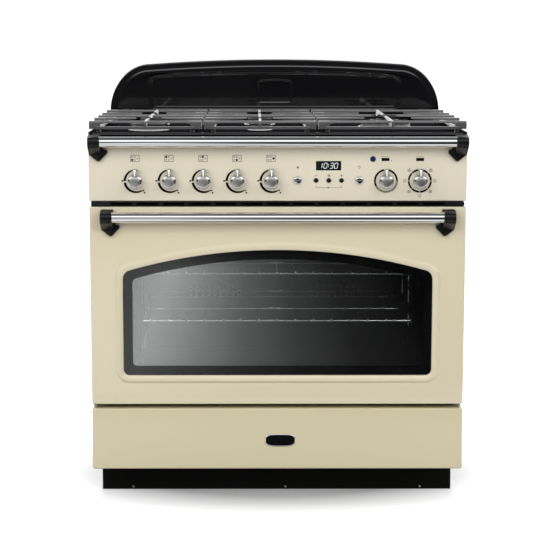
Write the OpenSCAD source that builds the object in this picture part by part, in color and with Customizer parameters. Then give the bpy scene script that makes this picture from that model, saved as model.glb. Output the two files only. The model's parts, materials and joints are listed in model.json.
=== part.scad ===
// Dual fuel range cooker: five-burner gas hob, one wide drop-down oven and a storage drawer.
// X runs to the right, Y to the rear and Z up. The origin is on the floor under the middle of the cooker.

/* [Body] */
// Width over the doors and side panels
body_w = 900; // [880:5:960]
// Depth from the door face to the rear cover
body_d = 608; // [600:2:640]
// Height of the base tray above the floor
foot_h = 84; // [78:1:96]
// Thickness of the pressed sheet steel
sheet = 1.5; // [1:0.1:2]
// Depth of the fronts: door, drawer front and control panel
front_t = 45; // [43:0.5:48]
// Corner radius of the pressed fronts
front_r = 4; // [2:0.5:6]

/* [Front bands] */
// Height of the drawer front
drawer_h = 153; // [140:1:170]
// Height of the oven door
door_h = 483.5; // [480:0.5:500]
// Gap between the drawer front and the oven door
drawer_gap = 6; // [5:0.5:9]
// Height of the vent band between the door and the control panel
vent_h = 13.5; // [10:0.5:18]
// Height of the control panel
panel_h = 153.5; // [150:0.5:170]
// Height of the hob's rolled edge
hob_edge_h = 10; // [9:0.5:14]
// How far the plinth stands back from the door face
plinth_back = 110; // [90:5:130]
// How much the plinth is narrower than the body on each side
plinth_inset = 14; // [6:1:30]

/* [Rails and brackets] */
// Diameter of the towel rail and of the door handle
rail_dia = 25; // [22:0.5:28]
// Distance from the door face to the centre of a rail
rail_out = 32.5; // [30:0.5:38]
// Drop of the towel rail below the top of the control panel
towel_drop = 10; // [8:0.5:14]
// Drop of the door handle below the top of the door
handle_drop = 22; // [20:0.5:30]
// Inset of the towel rail brackets from the body's side
towel_inset = 3; // [2:0.5:10]
// Inset of the door handle brackets from the body's side
handle_inset = 30; // [20:1:45]
// Width of a bracket's arm along the rail
bracket_w = 28; // [24:1:34]

/* [Oven] */
// Distance from the body's side to the clear width of the oven
oven_side = 105; // [100:1:115]
// Clear height of the oven
oven_h = 376; // [370:2:384]
// Height of the oven floor above the door's lower edge
oven_rise = 47.5; // [46:0.5:52]
// Depth kept behind the oven's rear wall for the fan motors
motor_room = 138; // [130:2:148]
// Distance from the body's side to the arched window
window_side = 79; // [70:1:90]
// Height of the window's lower edge above the door's lower edge
window_rise = 74; // [70:1:90]
// Height of the window at its middle
window_h = 305; // [290:1:315]
// Radius of the window's arch
window_arch_r = 1300; // [1200:20:1500]
// Distance from the window to the outside of its raised bead
bead_out = 22; // [16:1:26]
// Number of fore-and-aft wires in a shelf
shelf_wires = 15; // [11:2:17]
// Diameter of an oven shelf's edge rod
shelf_rod = 6; // [5:0.5:7]
// Radius of a fan's impeller
fan_r = 72; // [60:1:76]
// Distance of each fan from the middle of the oven
fan_x = 161; // [150:1:170]

/* [Drawer] */
// How far the drawer tray's sides stand in from the body's sides
tray_inset = 40; // [36:1:50]
// Height of the drawer tray's walls
tray_h = 110; // [90:1:125]

/* [Controls] */
// Height of the knobs above the control panel's lower edge
knob_rise = 48.5; // [40:0.5:60]
// Distance between two hob knobs
knob_pitch = 80.7; // [70:0.1:84]
// Place of the first hob knob from the middle
first_knob_x = -338; // [-345:1:-330]
// Place of the oven temperature knob from the middle
thermostat_place = 257; // [252:1:262]
// Place of the oven function knob from the middle
function_place = 337.5; // [330:0.5:345]
// Diameter of a knob's body
knob_dia = 35; // [32:0.5:40]
// How far a knob stands out from the panel
knob_out = 36; // [34:0.5:40]
// Diameter of a tap spindle
spindle_dia = 8; // [7:0.5:9]
// Push-in travel of a tap spindle
spindle_push = 3.5; // [2:0.5:5]
// Diameter of the ignition and light buttons
button_dia = 19.6; // [18:0.2:22]
// Push-in travel of the ignition and light buttons
button_push = 3; // [2:0.5:4]
// Diameter of the clock's buttons
timer_dia = 10.8; // [9:0.2:12]
// Push-in travel of the clock's buttons
timer_push = 1.5; // [1:0.25:2]
// Width of the clock's window
clock_w = 60; // [56:1:64]
// Height of the clock's window
clock_h = 22.4; // [20:0.2:25]

/* [Hob] */
// Depth of the well pressed into the hob tray
well_drop = 6; // [4:0.5:8]
// Width of the left and of the middle pan support
support_w = 268; // [262:1:272]
// Gap between two pan supports
support_gap = 5; // [3:0.5:8]
// Height of the pan supports' tops above the hob's edge
support_top = 26; // [24:0.5:30]
// Width of a cast bar in the pan supports
bar_w = 9; // [8:0.5:11]
// Distance from the door face to the front burners
front_burner = 154; // [150:1:158]
// Distance between the front and the rear burners
burner_pitch = 204; // [198:1:210]
// Number of flame ports round a burner crown
ports = 24; // [16:2:30]

/* [Splashback] */
// Depth of the splashback
splash_d = 33; // [30:0.5:40]
// Height of the splashback above the hob's edge at the middle
splash_h = 157.5; // [150:0.5:180]
// Rise of the splashback's top between its round corners
splash_arch = 12.5; // [8:0.5:18]
// Width of each round corner
splash_corner_w = 108; // [90:1:120]
// Height of each round corner
splash_corner_h = 130; // [110:1:140]

/* [Clearances] */
// Gap between pieces that move past each other
move_gap = 0.3; // [0.3:0.05:0.5]
// Radial clearance of a shaft in its bore
shaft_gap = 0.05; // [0.02:0.01:0.1]

/* [Hidden] */
$fn = 48;
half_w = body_w / 2;
rail_r = rail_dia / 2;
boss_t = 4.5;
boss_r = rail_r + boss_t;
rail_front = rail_out + boss_r;
rear_y = (body_d + rail_front) / 2;
face_y = rear_y - body_d;

// Heights of the bands of the front, from the floor up
drawer_z = foot_h + sheet;
drawer_top = drawer_z + drawer_h;
door_z = drawer_top + drawer_gap;
door_top = door_z + door_h;
panel_z = door_top + vent_h;
hob_low = panel_z + panel_h;
hob_z = hob_low + hob_edge_h;
front_half_w = half_w - 1;

// The controls keep their share of the body's width
design_w = 900;
share = body_w / design_w;

// Depths measured back from the door face
splash_y = body_d - splash_d;
hob_d = splash_y - 0.5;
oven_back = body_d - motor_room;
oven_w = body_w - 2 * oven_side;

// The chassis stands behind the fronts
skin_y = 1.5;
chassis_y = front_t + skin_y;
frame_y = chassis_y + 4;
frame_t = 2;
flange_y = frame_y + frame_t;
frame_half_w = half_w - 3;
oven_frame_w = oven_w / 2 + 43;
return_w = 20;
vent_inset = 2;
oven_frame_low = 20;
oven_frame_high = 18;
rear_post = 30;

// The door turns about a pin near its lower edge
hinge_y = 10;
hinge_rise = 7.5;
hinge_z = door_z + hinge_rise;
pin_r = 4;
arm_x = front_half_w - 61;
arm_t = 6;
arm_slot = 16;
arm_h = 12;
cheek_t = 3;
skin_depth = 22;
inner_inset = 8;
glass_t = 4;

// Oven cavity
oven_z = door_z + oven_rise;
oven_top = oven_z + oven_h;
oven_half = oven_w / 2;
seal_r = 3.5;
seal_out = 14;
lip_w = 47;
ladder_wire_r = 2.5;
ladder_x = oven_half - 8;
ladder_front = 80;
ladder_pitch = 58.5;
ladder_low = 24.8;
ladder_levels = 5;
lower_level = 2;
upper_level = 4;
shelf_rod_r = shelf_rod / 2;
shelf_half = ladder_x - 4;
wire_seat = sqrt(pow(shelf_rod_r + ladder_wire_r + move_gap, 2) - pow(ladder_x - shelf_half, 2));
post_r = ladder_wire_r + 0.4;
post_x = shelf_half + shelf_rod_r + move_gap + post_r;
shelf_front = 78;
shelf_back = oven_back - 55;
shelf_inset = 22;
ladder_gap = 14;
shelf_wire_r = 1.6;
shelf_bump = 8;
fan_z = oven_z + 158;
baffle_y = oven_back - 30;
baffle_w = 230;
baffle_low = 39;
baffle_h = 290;
fan_depth = 16;
motor_r = 34;
motor_d = 45;
element_r = 3.5;
ring_r = fan_r + 15;
lamp_r = 20;
lamp_z = oven_z + 300;
hairpin_front = 120;
hairpin_z = oven_top - 20;
terminal_x = 12;
terminal_r = element_r + 1;
element_ends = [for (x = [-27, -19, -11, -3, 3, 11, 19, 27]) x * oven_half / 34.5];

// Window outlines
window_w = body_w - 2 * window_side;
window_z = door_z + window_rise;
window_top = window_z + window_h;
window_low_r = 14.5;
window_high_r = 22;
bead_w = 7;
bead_t = 1.5;
glass_lap = 14;

// Drawer
tray_half = half_w - tray_inset;
tray_z = drawer_z + 8;
tray_back = body_d - 70;
slide_w = 8;
slide_h = 12;
slide_z = tray_z + 26;
channel_t = 2;

// Rear rollers
roller_r = 25;
roller_w = 20;
roller_x = half_w - 60;
roller_y = body_d - 80;
axle_r = 4;
fork_t = 3;
fork_half = 14;

// Rails and brackets
socket_depth = 12;
towel_z = hob_low - towel_drop;
handle_z = door_top - handle_drop;

// Controls
knob_z = panel_z + knob_rise;
knob_r = knob_dia / 2;
cap_r = knob_r - 6;
pointer_r = knob_r + 12.5;
spindle_r = spindle_dia / 2;
knob_rest = spindle_push + 0.7;
spindle_front = knob_out - 8;
valve_y = 14;
valve_back = 70;
bush_r = spindle_r + 4;
oven_spindle_r = 3;
button_r = button_dia / 2;
timer_r = timer_dia / 2;
thermostat_x = share * thermostat_place;
function_x = share * function_place;
ignition_x = share * 47.2;
light_x = share * 193.5;
timer_x = [for (x = [91, 121.2, 151.5]) share * x];
button_z = knob_z + 1;
clock_x = share * 90.4;
clock_z = knob_z + 25;
neon_x = share * 225.8;
neon_z = knob_z + 52;
neon_r = 7;
neon_d = 10;
rail_bar = 20;
inlet_x = -half_w + 50;
inlet_r = 9.3;
inlet_len = 16;

// Burners: place and cap radius, in the order of the hob knobs
left_x = -half_w + 1 + support_w / 2;
middle_x = left_x + support_w + support_gap;
right_low = middle_x + support_w / 2 + support_gap;
right_x = (right_low + half_w - 1) / 2;
rear_burner = front_burner + burner_pitch;
wok_y = (front_burner + rear_burner) / 2;
burners = [
    [left_x, front_burner, 46],
    [left_x, rear_burner, 36],
    [middle_x, rear_burner, 36],
    [middle_x, front_burner, 27],
    [right_x, wok_y, 62]
];
cup_low = hob_z - 34;
cup_flange = 8;
crown_h = 11;
cap_t = 5;
well_z = hob_z - well_drop;
ledge_h = 2;
crown_z = well_z + ledge_h + 2;
wok_ring = 22;
wok_eye = 19;
big_burner = 50;
igniter_r = 1.8;

// Pan supports
bar_low = hob_z + 7;
bar_top = hob_z + 13;
finger_top = hob_z + support_top;
support_front = 12;
support_back = hob_d - 74.5;
end_in = 13;
finger_y = [support_front + end_in, front_burner, wok_y, rear_burner, support_back - end_in];
rail_in = 22;
foot_in = 20;
foot_r = 5;
block_len = 26;
block_w = 14;
tip_gap = 32;
wok_gap = 58;
tip_w = 6;
tip_h = 3;
root_h = 6;
cross_h = 5;
end_h = 5;
neck = 12;

// Splashback
splash_in = 2;
splash_top = hob_z + splash_h;
recess_w = 337;
recess_low = 24;
recess_top = 34.5;
recess_arch = 10;
recess_depth = 4;
pocket_w = 88;
pocket_h = 58;
pocket_rise = 18;
pocket_arch_r = 300;
splash_skin = 9;

cream = [0.86, 0.82, 0.71];
black = [0.07, 0.07, 0.08];
chrome = [0.82, 0.83, 0.85];
steel = [0.6, 0.61, 0.63];
iron = [0.28, 0.28, 0.29];
enamel = [0.16, 0.17, 0.19];

// Points of an arc from angle a0 to angle a1, ends included
function arc(cx, cy, r, a0, a1, n = 5) =
    [for (i = [0:n]) let (a = a0 + (a1 - a0) * i / n) [cx + r * cos(a), cy + r * sin(a)]];

// The same arc without its two ends
function arc_inside(cx, cy, r, a0, a1, n) =
    [for (i = [1:n - 1]) let (a = a0 + (a1 - a0) * i / n) [cx + r * cos(a), cy + r * sin(a)]];

// A rectangle with round corners
function round_rect(x0, y0, x1, y1, r) = concat(
    arc(x1 - r, y1 - r, r, 0, 90), arc(x0 + r, y1 - r, r, 90, 180),
    arc(x0 + r, y0 + r, r, 180, 270), arc(x1 - r, y0 + r, r, 270, 360)
);

// A rectangle whose two corners at y0 are round, for the front edges of a pressed panel
function round_front(x0, y0, x1, y1, r) = concat(
    [[x1, y1], [x0, y1]], arc(x0 + r, y0 + r, r, 180, 270), arc(x1 - r, y0 + r, r, 270, 360)
);

// An outline with round lower corners and an arched top whose ends are blended into the sides
function arch_outline(w, low, top, r_arch, r_low, r_high) = let (
    half = w / 2,
    zc = top - r_arch,
    zf = zc + sqrt(pow(r_arch - r_high, 2) - pow(half - r_high, 2)),
    a = atan2(zf - zc, half - r_high)
) concat(
    arc(half - r_high, zf, r_high, 0, a), arc_inside(0, zc, r_arch, a, 180 - a, 24),
    arc(r_high - half, zf, r_high, 180 - a, 180), arc(r_low - half, low + r_low, r_low, 180, 270),
    arc(half - r_low, low + r_low, r_low, 270, 360)
);

// Radius of an arch from its span and its rise
function arch_radius(span, rise) = (span * span / 4 + rise * rise) / (2 * rise);

// Outline of the splashback, drawn in by a margin
function splash_outline(m) = let (
    flat = half_w - splash_in - splash_corner_w,
    r = arch_radius(2 * flat, splash_arch),
    a = asin(flat / r),
    corner_z = splash_top - splash_arch - splash_corner_h
) concat(
    [[half_w - splash_in - m, hob_low + m]],
    [for (i = [0:10]) let (t = 9 * i)
        [flat + (splash_corner_w - m) * cos(t), corner_z + (splash_corner_h - m) * sin(t)]],
    arc_inside(0, splash_top - r, r - m, 90 - a, 90 + a, 16),
    [for (i = [0:10]) let (t = 90 + 9 * i)
        [-flat + (splash_corner_w - m) * cos(t), corner_z + (splash_corner_h - m) * sin(t)]],
    [[m + splash_in - half_w, hob_low + m]]
);

// Extrusions along the three axes. Distances along Y are measured back from the door face.
module along_y(y0, y1) {
    translate([0, face_y + y1, 0]) rotate([90, 0, 0]) linear_extrude(y1 - y0) children();
}

module along_x(x0, x1) {
    translate([x0, 0, 0]) rotate([90, 0, 90]) linear_extrude(x1 - x0) children();
}

module along_z(z0, z1) {
    translate([0, 0, z0]) linear_extrude(z1 - z0) children();
}

// A block between two corners, with Y measured back from the door face
module block(x0, x1, y0, y1, z0, z1) {
    translate([x0, face_y + y0, z0]) cube([x1 - x0, y1 - y0, z1 - z0]);
}

// A block and its mirror image on the other side
module block_pair(x0, x1, y0, y1, z0, z1) {
    block(x0, x1, y0, y1, z0, z1);
    block(-x1, -x0, y0, y1, z0, z1);
}

// Round bars along the three axes, with Y measured back from the door face
module bar_y(x, z, y0, y1, r) {
    translate([x, face_y + y1, z]) rotate([90, 0, 0]) cylinder(h = y1 - y0, r = r);
}

module bar_x(x0, x1, y, z, r) {
    translate([x0, face_y + y, z]) rotate([0, 90, 0]) cylinder(h = x1 - x0, r = r);
}

module bar_z(x, y, z0, z1, r) {
    translate([x, face_y + y, z0]) cylinder(h = z1 - z0, r = r);
}

// A solid of revolution about a line along Y. Its profile gives radius and distance out from the face.
module turned(x, z, y = 0) {
    translate([x, face_y + y, z]) rotate([90, 0, 0]) rotate_extrude() children();
}

module mirrored() {
    children();
    mirror([1, 0, 0]) children();
}

// A pressed front panel with soft face edges
module pressed_front(x1, z0, z1, depth, r) {
    intersection() {
        along_y(0, depth) polygon(round_rect(-x1, z0, x1, z1, r));
        along_z(z0, z1) translate([0, face_y]) polygon(round_front(-x1, 0, x1, depth, r));
        along_x(-x1, x1) polygon([for (p = round_front(z0, 0, z1, depth, r)) [face_y + p[1], p[0]]]);
    }
}

module pressed_shell(x1, z0, z1, depth, r) {
    difference() {
        pressed_front(x1, z0, z1, depth, r);
        block(-x1 + sheet, x1 - sheet, sheet, depth + 1, z0 + sheet, z1 - sheet);
    }
}

// The steel box that carries everything: front frame, posts, rails, oven shelf plate and the two hinge arms
module chassis_frame() {
    color(steel) {
        difference() {
            block(-frame_half_w, frame_half_w, frame_y, flange_y, foot_h + sheet, hob_low);
            block(-tray_half - 20, tray_half + 20, frame_y - 1, flange_y + 1, foot_h, drawer_top - 2);
            block(-oven_frame_w, oven_frame_w, frame_y - 1, flange_y + 1,
                oven_z - oven_frame_low, oven_top + oven_frame_high);
            block(-frame_half_w + 25, frame_half_w - 25, frame_y - 1, flange_y + 1, panel_z + 6, hob_low - 8);
        }
        mirrored() {
            block(frame_half_w - 2, frame_half_w, flange_y, flange_y + rear_post, foot_h + sheet, hob_low);
            block(frame_half_w - 2, frame_half_w, body_d - 2 - rear_post, body_d - 2, foot_h + sheet, hob_low);
            block(frame_half_w - rear_post, frame_half_w, body_d - 4, body_d - 2, foot_h + sheet, hob_low);
            block(frame_half_w - 2, frame_half_w, flange_y, body_d - 2, hob_low - 25, hob_low);
            block(frame_half_w - 22, frame_half_w, flange_y, body_d - 2, hob_low - 2, hob_low);
            block(frame_half_w - 2, frame_half_w, flange_y, body_d - 2, drawer_top + 2, drawer_top + 20);
            hinge_arm();
        }
        block(-frame_half_w, frame_half_w, flange_y, body_d - 2, drawer_top + 2, drawer_top + 4);
    }
}

module hinge_arm() {
    block(arm_x - arm_t / 2, arm_x + arm_t / 2, hinge_y, frame_y, hinge_z - arm_h / 2, hinge_z + arm_h / 2);
    bar_x(arm_x - arm_t / 2, arm_x + arm_t / 2, hinge_y, hinge_z, arm_h / 2);
    bar_x(arm_x - arm_slot / 2 - cheek_t, arm_x + arm_slot / 2 + cheek_t, hinge_y, hinge_z, pin_r);
    block(arm_x - arm_t / 2, arm_x + arm_t / 2, frame_y - 2, frame_y, hinge_z - arm_h / 2, hinge_z + 16);
}

// The base sheet with its folded edges, the drawer's channels and the forks of the rear rollers
module base_tray() {
    color(steel) {
        block(-frame_half_w, frame_half_w, frame_y, body_d - 2, foot_h, foot_h + sheet);
        mirrored() {
            drawer_channel();
            roller_fork();
        }
    }
}

module drawer_channel() {
    inner = tray_half + slide_w + move_gap;
    block(inner, inner + channel_t, frame_y + 4, tray_back + 20, foot_h + sheet, slide_z + slide_h + 4);
    for (z = [slide_z - move_gap - 3, slide_z + slide_h + move_gap])
        block(tray_half + 2, inner, frame_y + 4, tray_back + 20, z, z + 3);
}

module roller_fork() {
    half = roller_w / 2 + 1;
    for (x = [roller_x - half - fork_t, roller_x + half])
        block(x, x + fork_t, roller_y - fork_half, roller_y + fork_half, roller_r - 10, foot_h);
    bar_x(roller_x - half - fork_t, roller_x + half + fork_t, roller_y, roller_r, axle_r);
}

module rear_rollers() {
    color(black) mirrored() difference() {
        union() {
            bar_x(roller_x - roller_w / 2, roller_x + roller_w / 2, roller_y, roller_r, roller_r - 2);
            bar_x(roller_x - roller_w / 2 + 2, roller_x + roller_w / 2 - 2, roller_y, roller_r, roller_r);
        }
        bar_x(roller_x - roller_w, roller_x + roller_w, roller_y, roller_r, axle_r + shaft_gap);
    }
}

module side_panel() {
    block(frame_half_w, half_w - 1, chassis_y, body_d, foot_h + sheet, hob_low);
    block(frame_half_w - return_w, frame_half_w, chassis_y, chassis_y + sheet, foot_h + sheet, hob_low);
}

module side_panel_right() {
    color(black) side_panel();
}

module side_panel_left() {
    color(black) mirror([1, 0, 0]) side_panel();
}

// The rear sheet with two banks of louvres and the opening round the gas inlet
module rear_cover() {
    color(steel) difference() {
        block(-frame_half_w, frame_half_w, body_d - 2, body_d, foot_h + sheet, hob_low);
        bar_y(inlet_x, knob_z, body_d - 3, body_d + 1, 22);
        for (side = [-1, 1])
            for (i = [0:7])
                block(side * fan_x - 60, side * fan_x + 60, body_d - 3, body_d + 1,
                    fan_z - 60 + 16 * i, fan_z - 55 + 16 * i);
    }
}

// The recessed kick board with its returns
module plinth() {
    w = half_w - plinth_inset;
    color(black) {
        block(-w, w, plinth_back, plinth_back + 2, 2, foot_h);
        block_pair(w - 2, w, plinth_back + 2, plinth_back + 90, 2, foot_h);
        block(-w, w, plinth_back + 2, plinth_back + 22, foot_h - 2, foot_h);
    }
}

module levelling_feet() {
    color(steel) mirrored() translate([half_w - 70, face_y + plinth_back + 60, 0]) {
        cylinder(h = 8, r = 20);
        cylinder(h = 14, r = 12);
        cylinder(h = foot_h, r = 6);
        translate([0, 0, foot_h - 10]) cylinder(h = 10, r = 13, $fn = 6);
    }
}

// The pressed hob tray: rolled front edge, sunk well and a raised ledge round each burner
module hotplate() {
    color(black) difference() {
        union() {
            difference() {
                intersection() {
                    along_z(hob_low, hob_z) translate([0, face_y])
                        polygon(round_rect(-half_w, 0, half_w, hob_d, 10));
                    along_x(-half_w, half_w) polygon(concat(
                        [[face_y + hob_d, hob_low], [face_y + hob_d, hob_z]],
                        arc(face_y + 5, hob_z - 5, 5, 90, 180), [[face_y, hob_low]]
                    ));
                }
                along_z(well_z, hob_z + 1) translate([0, face_y])
                    polygon(round_rect(-half_w + 16, 14, half_w - 16, hob_d - 14, 14));
                block(-half_w + 4, half_w - 4, 4, hob_d - 4, hob_low - 1, well_z - sheet);
            }
            for (b = burners)
                bar_z(b[0], b[1], well_z - sheet, well_z + ledge_h, cup_r(b) + cup_flange + 4);
        }
        for (b = burners)
            bar_z(b[0], b[1], hob_low - 1, hob_z, cup_r(b) + move_gap);
    }
}

// Radius of a burner's body below its cap
function cup_r(b) = b[2] - 4;

// The cast burner bodies under the hob, each with its igniter beside it
module burner_cups() {
    color(steel) for (b = burners) {
        difference() {
            union() {
                bar_z(b[0], b[1], cup_low, well_z + ledge_h, cup_r(b));
                bar_z(b[0], b[1], well_z + ledge_h, crown_z, cup_r(b) + cup_flange);
            }
            bar_z(b[0], b[1], cup_low + 6, crown_z + 1, cup_r(b) - 4);
        }
        bar_z(b[0] + cup_r(b) + cup_flange - igniter_r - 1, b[1], crown_z - 1, crown_z + 7, igniter_r);
    }
}

// The crowns: rings cut by flame ports
module burner_crowns() {
    color([0.72, 0.73, 0.74]) for (b = burners)
        if (b[2] > big_burner) {
            crown(b, b[2] - 4, b[2] - wok_ring, 2 * ports);
            crown(b, wok_eye, 6, ports / 2);
            for (a = [0, 90])
                translate([b[0], face_y + b[1], crown_z]) rotate(a)
                    translate([wok_ring - b[2], -4, 0]) cube([2 * (b[2] - wok_ring), 8, 3]);
        }
        else
            crown(b, b[2] - 4, b[2] - 14, ports);
}

module crown(b, r_out, r_in, n) {
    translate([b[0], face_y + b[1], crown_z]) difference() {
        rotate_extrude() polygon([
            [r_in, 0], [r_out + 3, 0], [r_out + 3, 3], [r_out, 5], [r_out, crown_h], [r_in, crown_h]
        ]);
        for (i = [0:n - 1])
            rotate((i + 0.5) * 360 / n) translate([r_in - 1, -0.9, 6]) cube([r_out - r_in + 2, 1.8, crown_h]);
    }
}

// The enamelled caps, domed at their edge
module burner_caps() {
    color(black) for (b = burners)
        if (b[2] > big_burner) {
            translate([b[0], face_y + b[1], crown_z + crown_h]) rotate_extrude() polygon(concat(
                [[b[2] - wok_ring - 2, 0], [b[2], 0]], arc(b[2] - 3, cap_t - 3, 3, 0, 90, 4),
                arc(b[2] - wok_ring + 1, cap_t - 3, 3, 90, 180, 4)
            ));
            cap(b, wok_eye + 3);
        }
        else
            cap(b, b[2]);
}

module cap(b, r) {
    translate([b[0], face_y + b[1], crown_z + crown_h]) rotate_extrude()
        polygon(concat([[0, 0], [r, 0]], arc(r - 3, cap_t - 3, 3, 0, 90, 4), [[0, cap_t]]));
}

// The arched rear panel: a deep pressing with a sunk field and a small pocket in it
module splashback() {
    field_top = splash_top - recess_top;
    color(black) difference() {
        along_y(splash_y, body_d) polygon(splash_outline(0));
        along_y(splash_y - 1, splash_y + recess_depth) polygon(arch_outline(2 * recess_w, hob_z + recess_low,
            field_top, arch_radius(2 * recess_w, recess_arch), 17, 17));
        along_y(splash_y, splash_y + recess_depth + 2) polygon(arch_outline(pocket_w,
            hob_z + recess_low + pocket_rise, hob_z + recess_low + pocket_rise + pocket_h,
            pocket_arch_r, 5, 5));
        along_y(splash_y + splash_skin, body_d + 1) polygon(splash_outline(3));
    }
}

// The black band of air outlets above the door
module vent_trim() {
    w = frame_half_w - vent_inset;
    rear_w = frame_half_w - return_w - 4;
    low = door_top + 0.5;
    high = panel_z - 0.5;
    back = chassis_y - move_gap;
    color(black) difference() {
        union() {
            along_y(2, back) polygon(round_rect(-w, low, w, high, (high - low) / 2 - 0.5));
            block(-rear_w, rear_w, back - 1, frame_y, low + 1, high - 1);
        }
        for (i = [-6:6])
            block(i * 62 - 26, i * 62 + 26, 1, frame_y - 2, low + 3, high - 3);
    }
}

module control_panel() {
    color(cream) difference() {
        pressed_shell(half_w - 0.5, panel_z, hob_low, chassis_y, front_r);
        for (i = [0:4])
            bar_y(knob_x(i), knob_z, -1, sheet + 1, spindle_r + 2);
        for (x = [thermostat_x, function_x])
            bar_y(x, knob_z, -1, sheet + 1, oven_spindle_r + 1);
        for (x = [ignition_x, light_x])
            bar_y(x, button_z, -1, sheet + 1, button_r + move_gap);
        for (x = timer_x)
            bar_y(x, button_z, -1, sheet + 1, timer_r + move_gap);
        block(clock_x, clock_x + clock_w, -1, sheet + 1, clock_z, clock_z + clock_h);
        bar_y(neon_x, neon_z, -1, sheet + 1, neon_r + shaft_gap);
        for (x = [-half_w + 60, half_w - 60])
            block(x - 20, x + 20, 10, chassis_y + 1, panel_z - 1, panel_z + sheet + 1);
    }
}

function knob_x(i) = share * (first_knob_x + i * knob_pitch);

// The clock's housing behind the panel, its lens in the window, and the guides of its buttons
module clock_module() {
    color(enamel) difference() {
        union() {
            block(clock_x - 8, clock_x + clock_w + 10, sheet, 30, knob_z - 10, clock_z + clock_h + 6);
            block(clock_x, clock_x + clock_w, 0, sheet, clock_z, clock_z + clock_h);
        }
        for (x = timer_x)
            bar_y(x, button_z, sheet - 1, 18, timer_r + move_gap);
    }
}

module neon_lens() {
    flange = neon_d - sheet;
    color([0.08, 0.1, 0.3]) turned(neon_x, neon_z, neon_d) polygon(concat(
        [[0, 0], [neon_r + 2, 0], [neon_r + 2, flange], [neon_r, flange]],
        arc(neon_r - 2, neon_d, 2, 0, 90, 4), [[0, neon_d + 2.5]]
    ));
}

// Thermostat and function switch on their bushes, and the two push switches
module oven_controls() {
    color(steel) {
        for (x = [thermostat_x, function_x]) {
            bar_y(x, knob_z, 5 - knob_out, valve_y, oven_spindle_r);
            bar_y(x, knob_z, sheet, valve_y, 6);
            bar_y(x, knob_z, valve_y, 48, 22);
            block(x - 16, x + 16, 48, 60, knob_z - 16, knob_z + 16);
        }
        for (x = [ignition_x, light_x])
            difference() {
                bar_y(x, button_z, sheet, 34, button_r + 4);
                bar_y(x, button_z, sheet - 1, 30, button_r + move_gap);
            }
    }
}

// The gas rail, five taps with their bores, the burner pipes and the inlet at the rear
module gas_manifold() {
    rail_low = knob_z - rail_bar / 2;
    color([0.75, 0.66, 0.38]) difference() {
        union() {
            block(inlet_x - 10, knob_x(4) + 20, valve_back - 4, valve_back + rail_bar - 4, rail_low, rail_low + rail_bar);
            bar_y(inlet_x, knob_z, valve_back, body_d - 24, 7);
            bar_y(inlet_x, knob_z, body_d - 28, body_d - 1, inlet_r + 5);
            for (i = [0:4]) {
                bar_y(knob_x(i), knob_z, sheet, valve_y, bush_r);
                block(knob_x(i) - 12, knob_x(i) + 12, valve_y, valve_back, knob_z - 13, knob_z + 13);
                burner_pipe(i, burners[i]);
            }
        }
        for (i = [0:4])
            bar_y(knob_x(i), knob_z, 0, valve_back - 8, spindle_r + shaft_gap);
        bar_y(inlet_x, knob_z, body_d - 1 - inlet_len, body_d, inlet_r);
    }
}

// A burner's pipe rises from its tap, runs back and across at its own height, and ends in the cup's base
module burner_pipe(i, b) {
    z = knob_z + 26 + 7 * i;
    x = knob_x(i);
    bar_z(x, 50, knob_z, z, 4);
    bar_y(x, z, 50, b[1], 4);
    if (abs(b[0] - x) > 1)
        bar_x(min(x, b[0]), max(x, b[0]), b[1], z, 4);
    bar_z(b[0], b[1], z, cup_low, 4.5);
    for (p = [[x, 50], [x, b[1]], [b[0], b[1]]])
        bar_z(p[0], p[1], z - 6.5, z + 6.5, 6.5);
}

// A turned knob with a flared pointer, standing off the panel by its push-in travel
module knob(x) {
    difference() {
        union() {
            turned(x, knob_z) polygon(concat(
                [[0, knob_rest], [knob_r - 3, knob_rest], [knob_r - 1, knob_rest + 2], [knob_r, knob_rest + 6]],
                arc(knob_r - 4, knob_out - 14, 4, 0, 70, 4),
                [[cap_r + 1, knob_out - 7], [cap_r, knob_out - 5]],
                arc(cap_r - 2, knob_out - 2, 2, 0, 90, 4), [[0, knob_out]]
            ));
            along_y(4 - knob_out, 14 - knob_out) translate([x, knob_z]) polygon([
                [-4, 8], [4, 8], [3.4, knob_r], [6, pointer_r - 2], [5, pointer_r], [-5, pointer_r],
                [-6, pointer_r - 2], [-3.4, knob_r]
            ]);
        }
        children();
    }
}

module hob_knob(i) {
    color(chrome) knob(knob_x(i))
        bar_y(knob_x(i), knob_z, move_gap - spindle_front - 1, 1, spindle_r + shaft_gap);
}

module hob_knob_1() { hob_knob(0); }
module hob_knob_2() { hob_knob(1); }
module hob_knob_3() { hob_knob(2); }
module hob_knob_4() { hob_knob(3); }
module hob_knob_5() { hob_knob(4); }

// A tap's spindle, from inside its knob to the end of the tap's bore less its travel
module valve_spindle(i) {
    color(steel) bar_y(knob_x(i), knob_z, 1 - spindle_front, valve_back - 9 - spindle_push, spindle_r);
}

module valve_spindle_1() { valve_spindle(0); }
module valve_spindle_2() { valve_spindle(1); }
module valve_spindle_3() { valve_spindle(2); }
module valve_spindle_4() { valve_spindle(3); }
module valve_spindle_5() { valve_spindle(4); }

module oven_knob(x) {
    color(chrome) knob(x) bar_y(x, knob_z, 4.5 - knob_out, 1, oven_spindle_r + shaft_gap);
}

module oven_temperature_knob() { oven_knob(thermostat_x); }
module oven_function_knob() { oven_knob(function_x); }

// A domed push button
module push_button(x, r, out, back, dome) {
    turned(x, button_z, back) polygon(concat(
        [[0, 0], [r, 0], [r, back + out - dome]],
        arc(r - dome, back + out - dome, dome, 0, 90, 4), [[0, back + out]]
    ));
}

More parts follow.
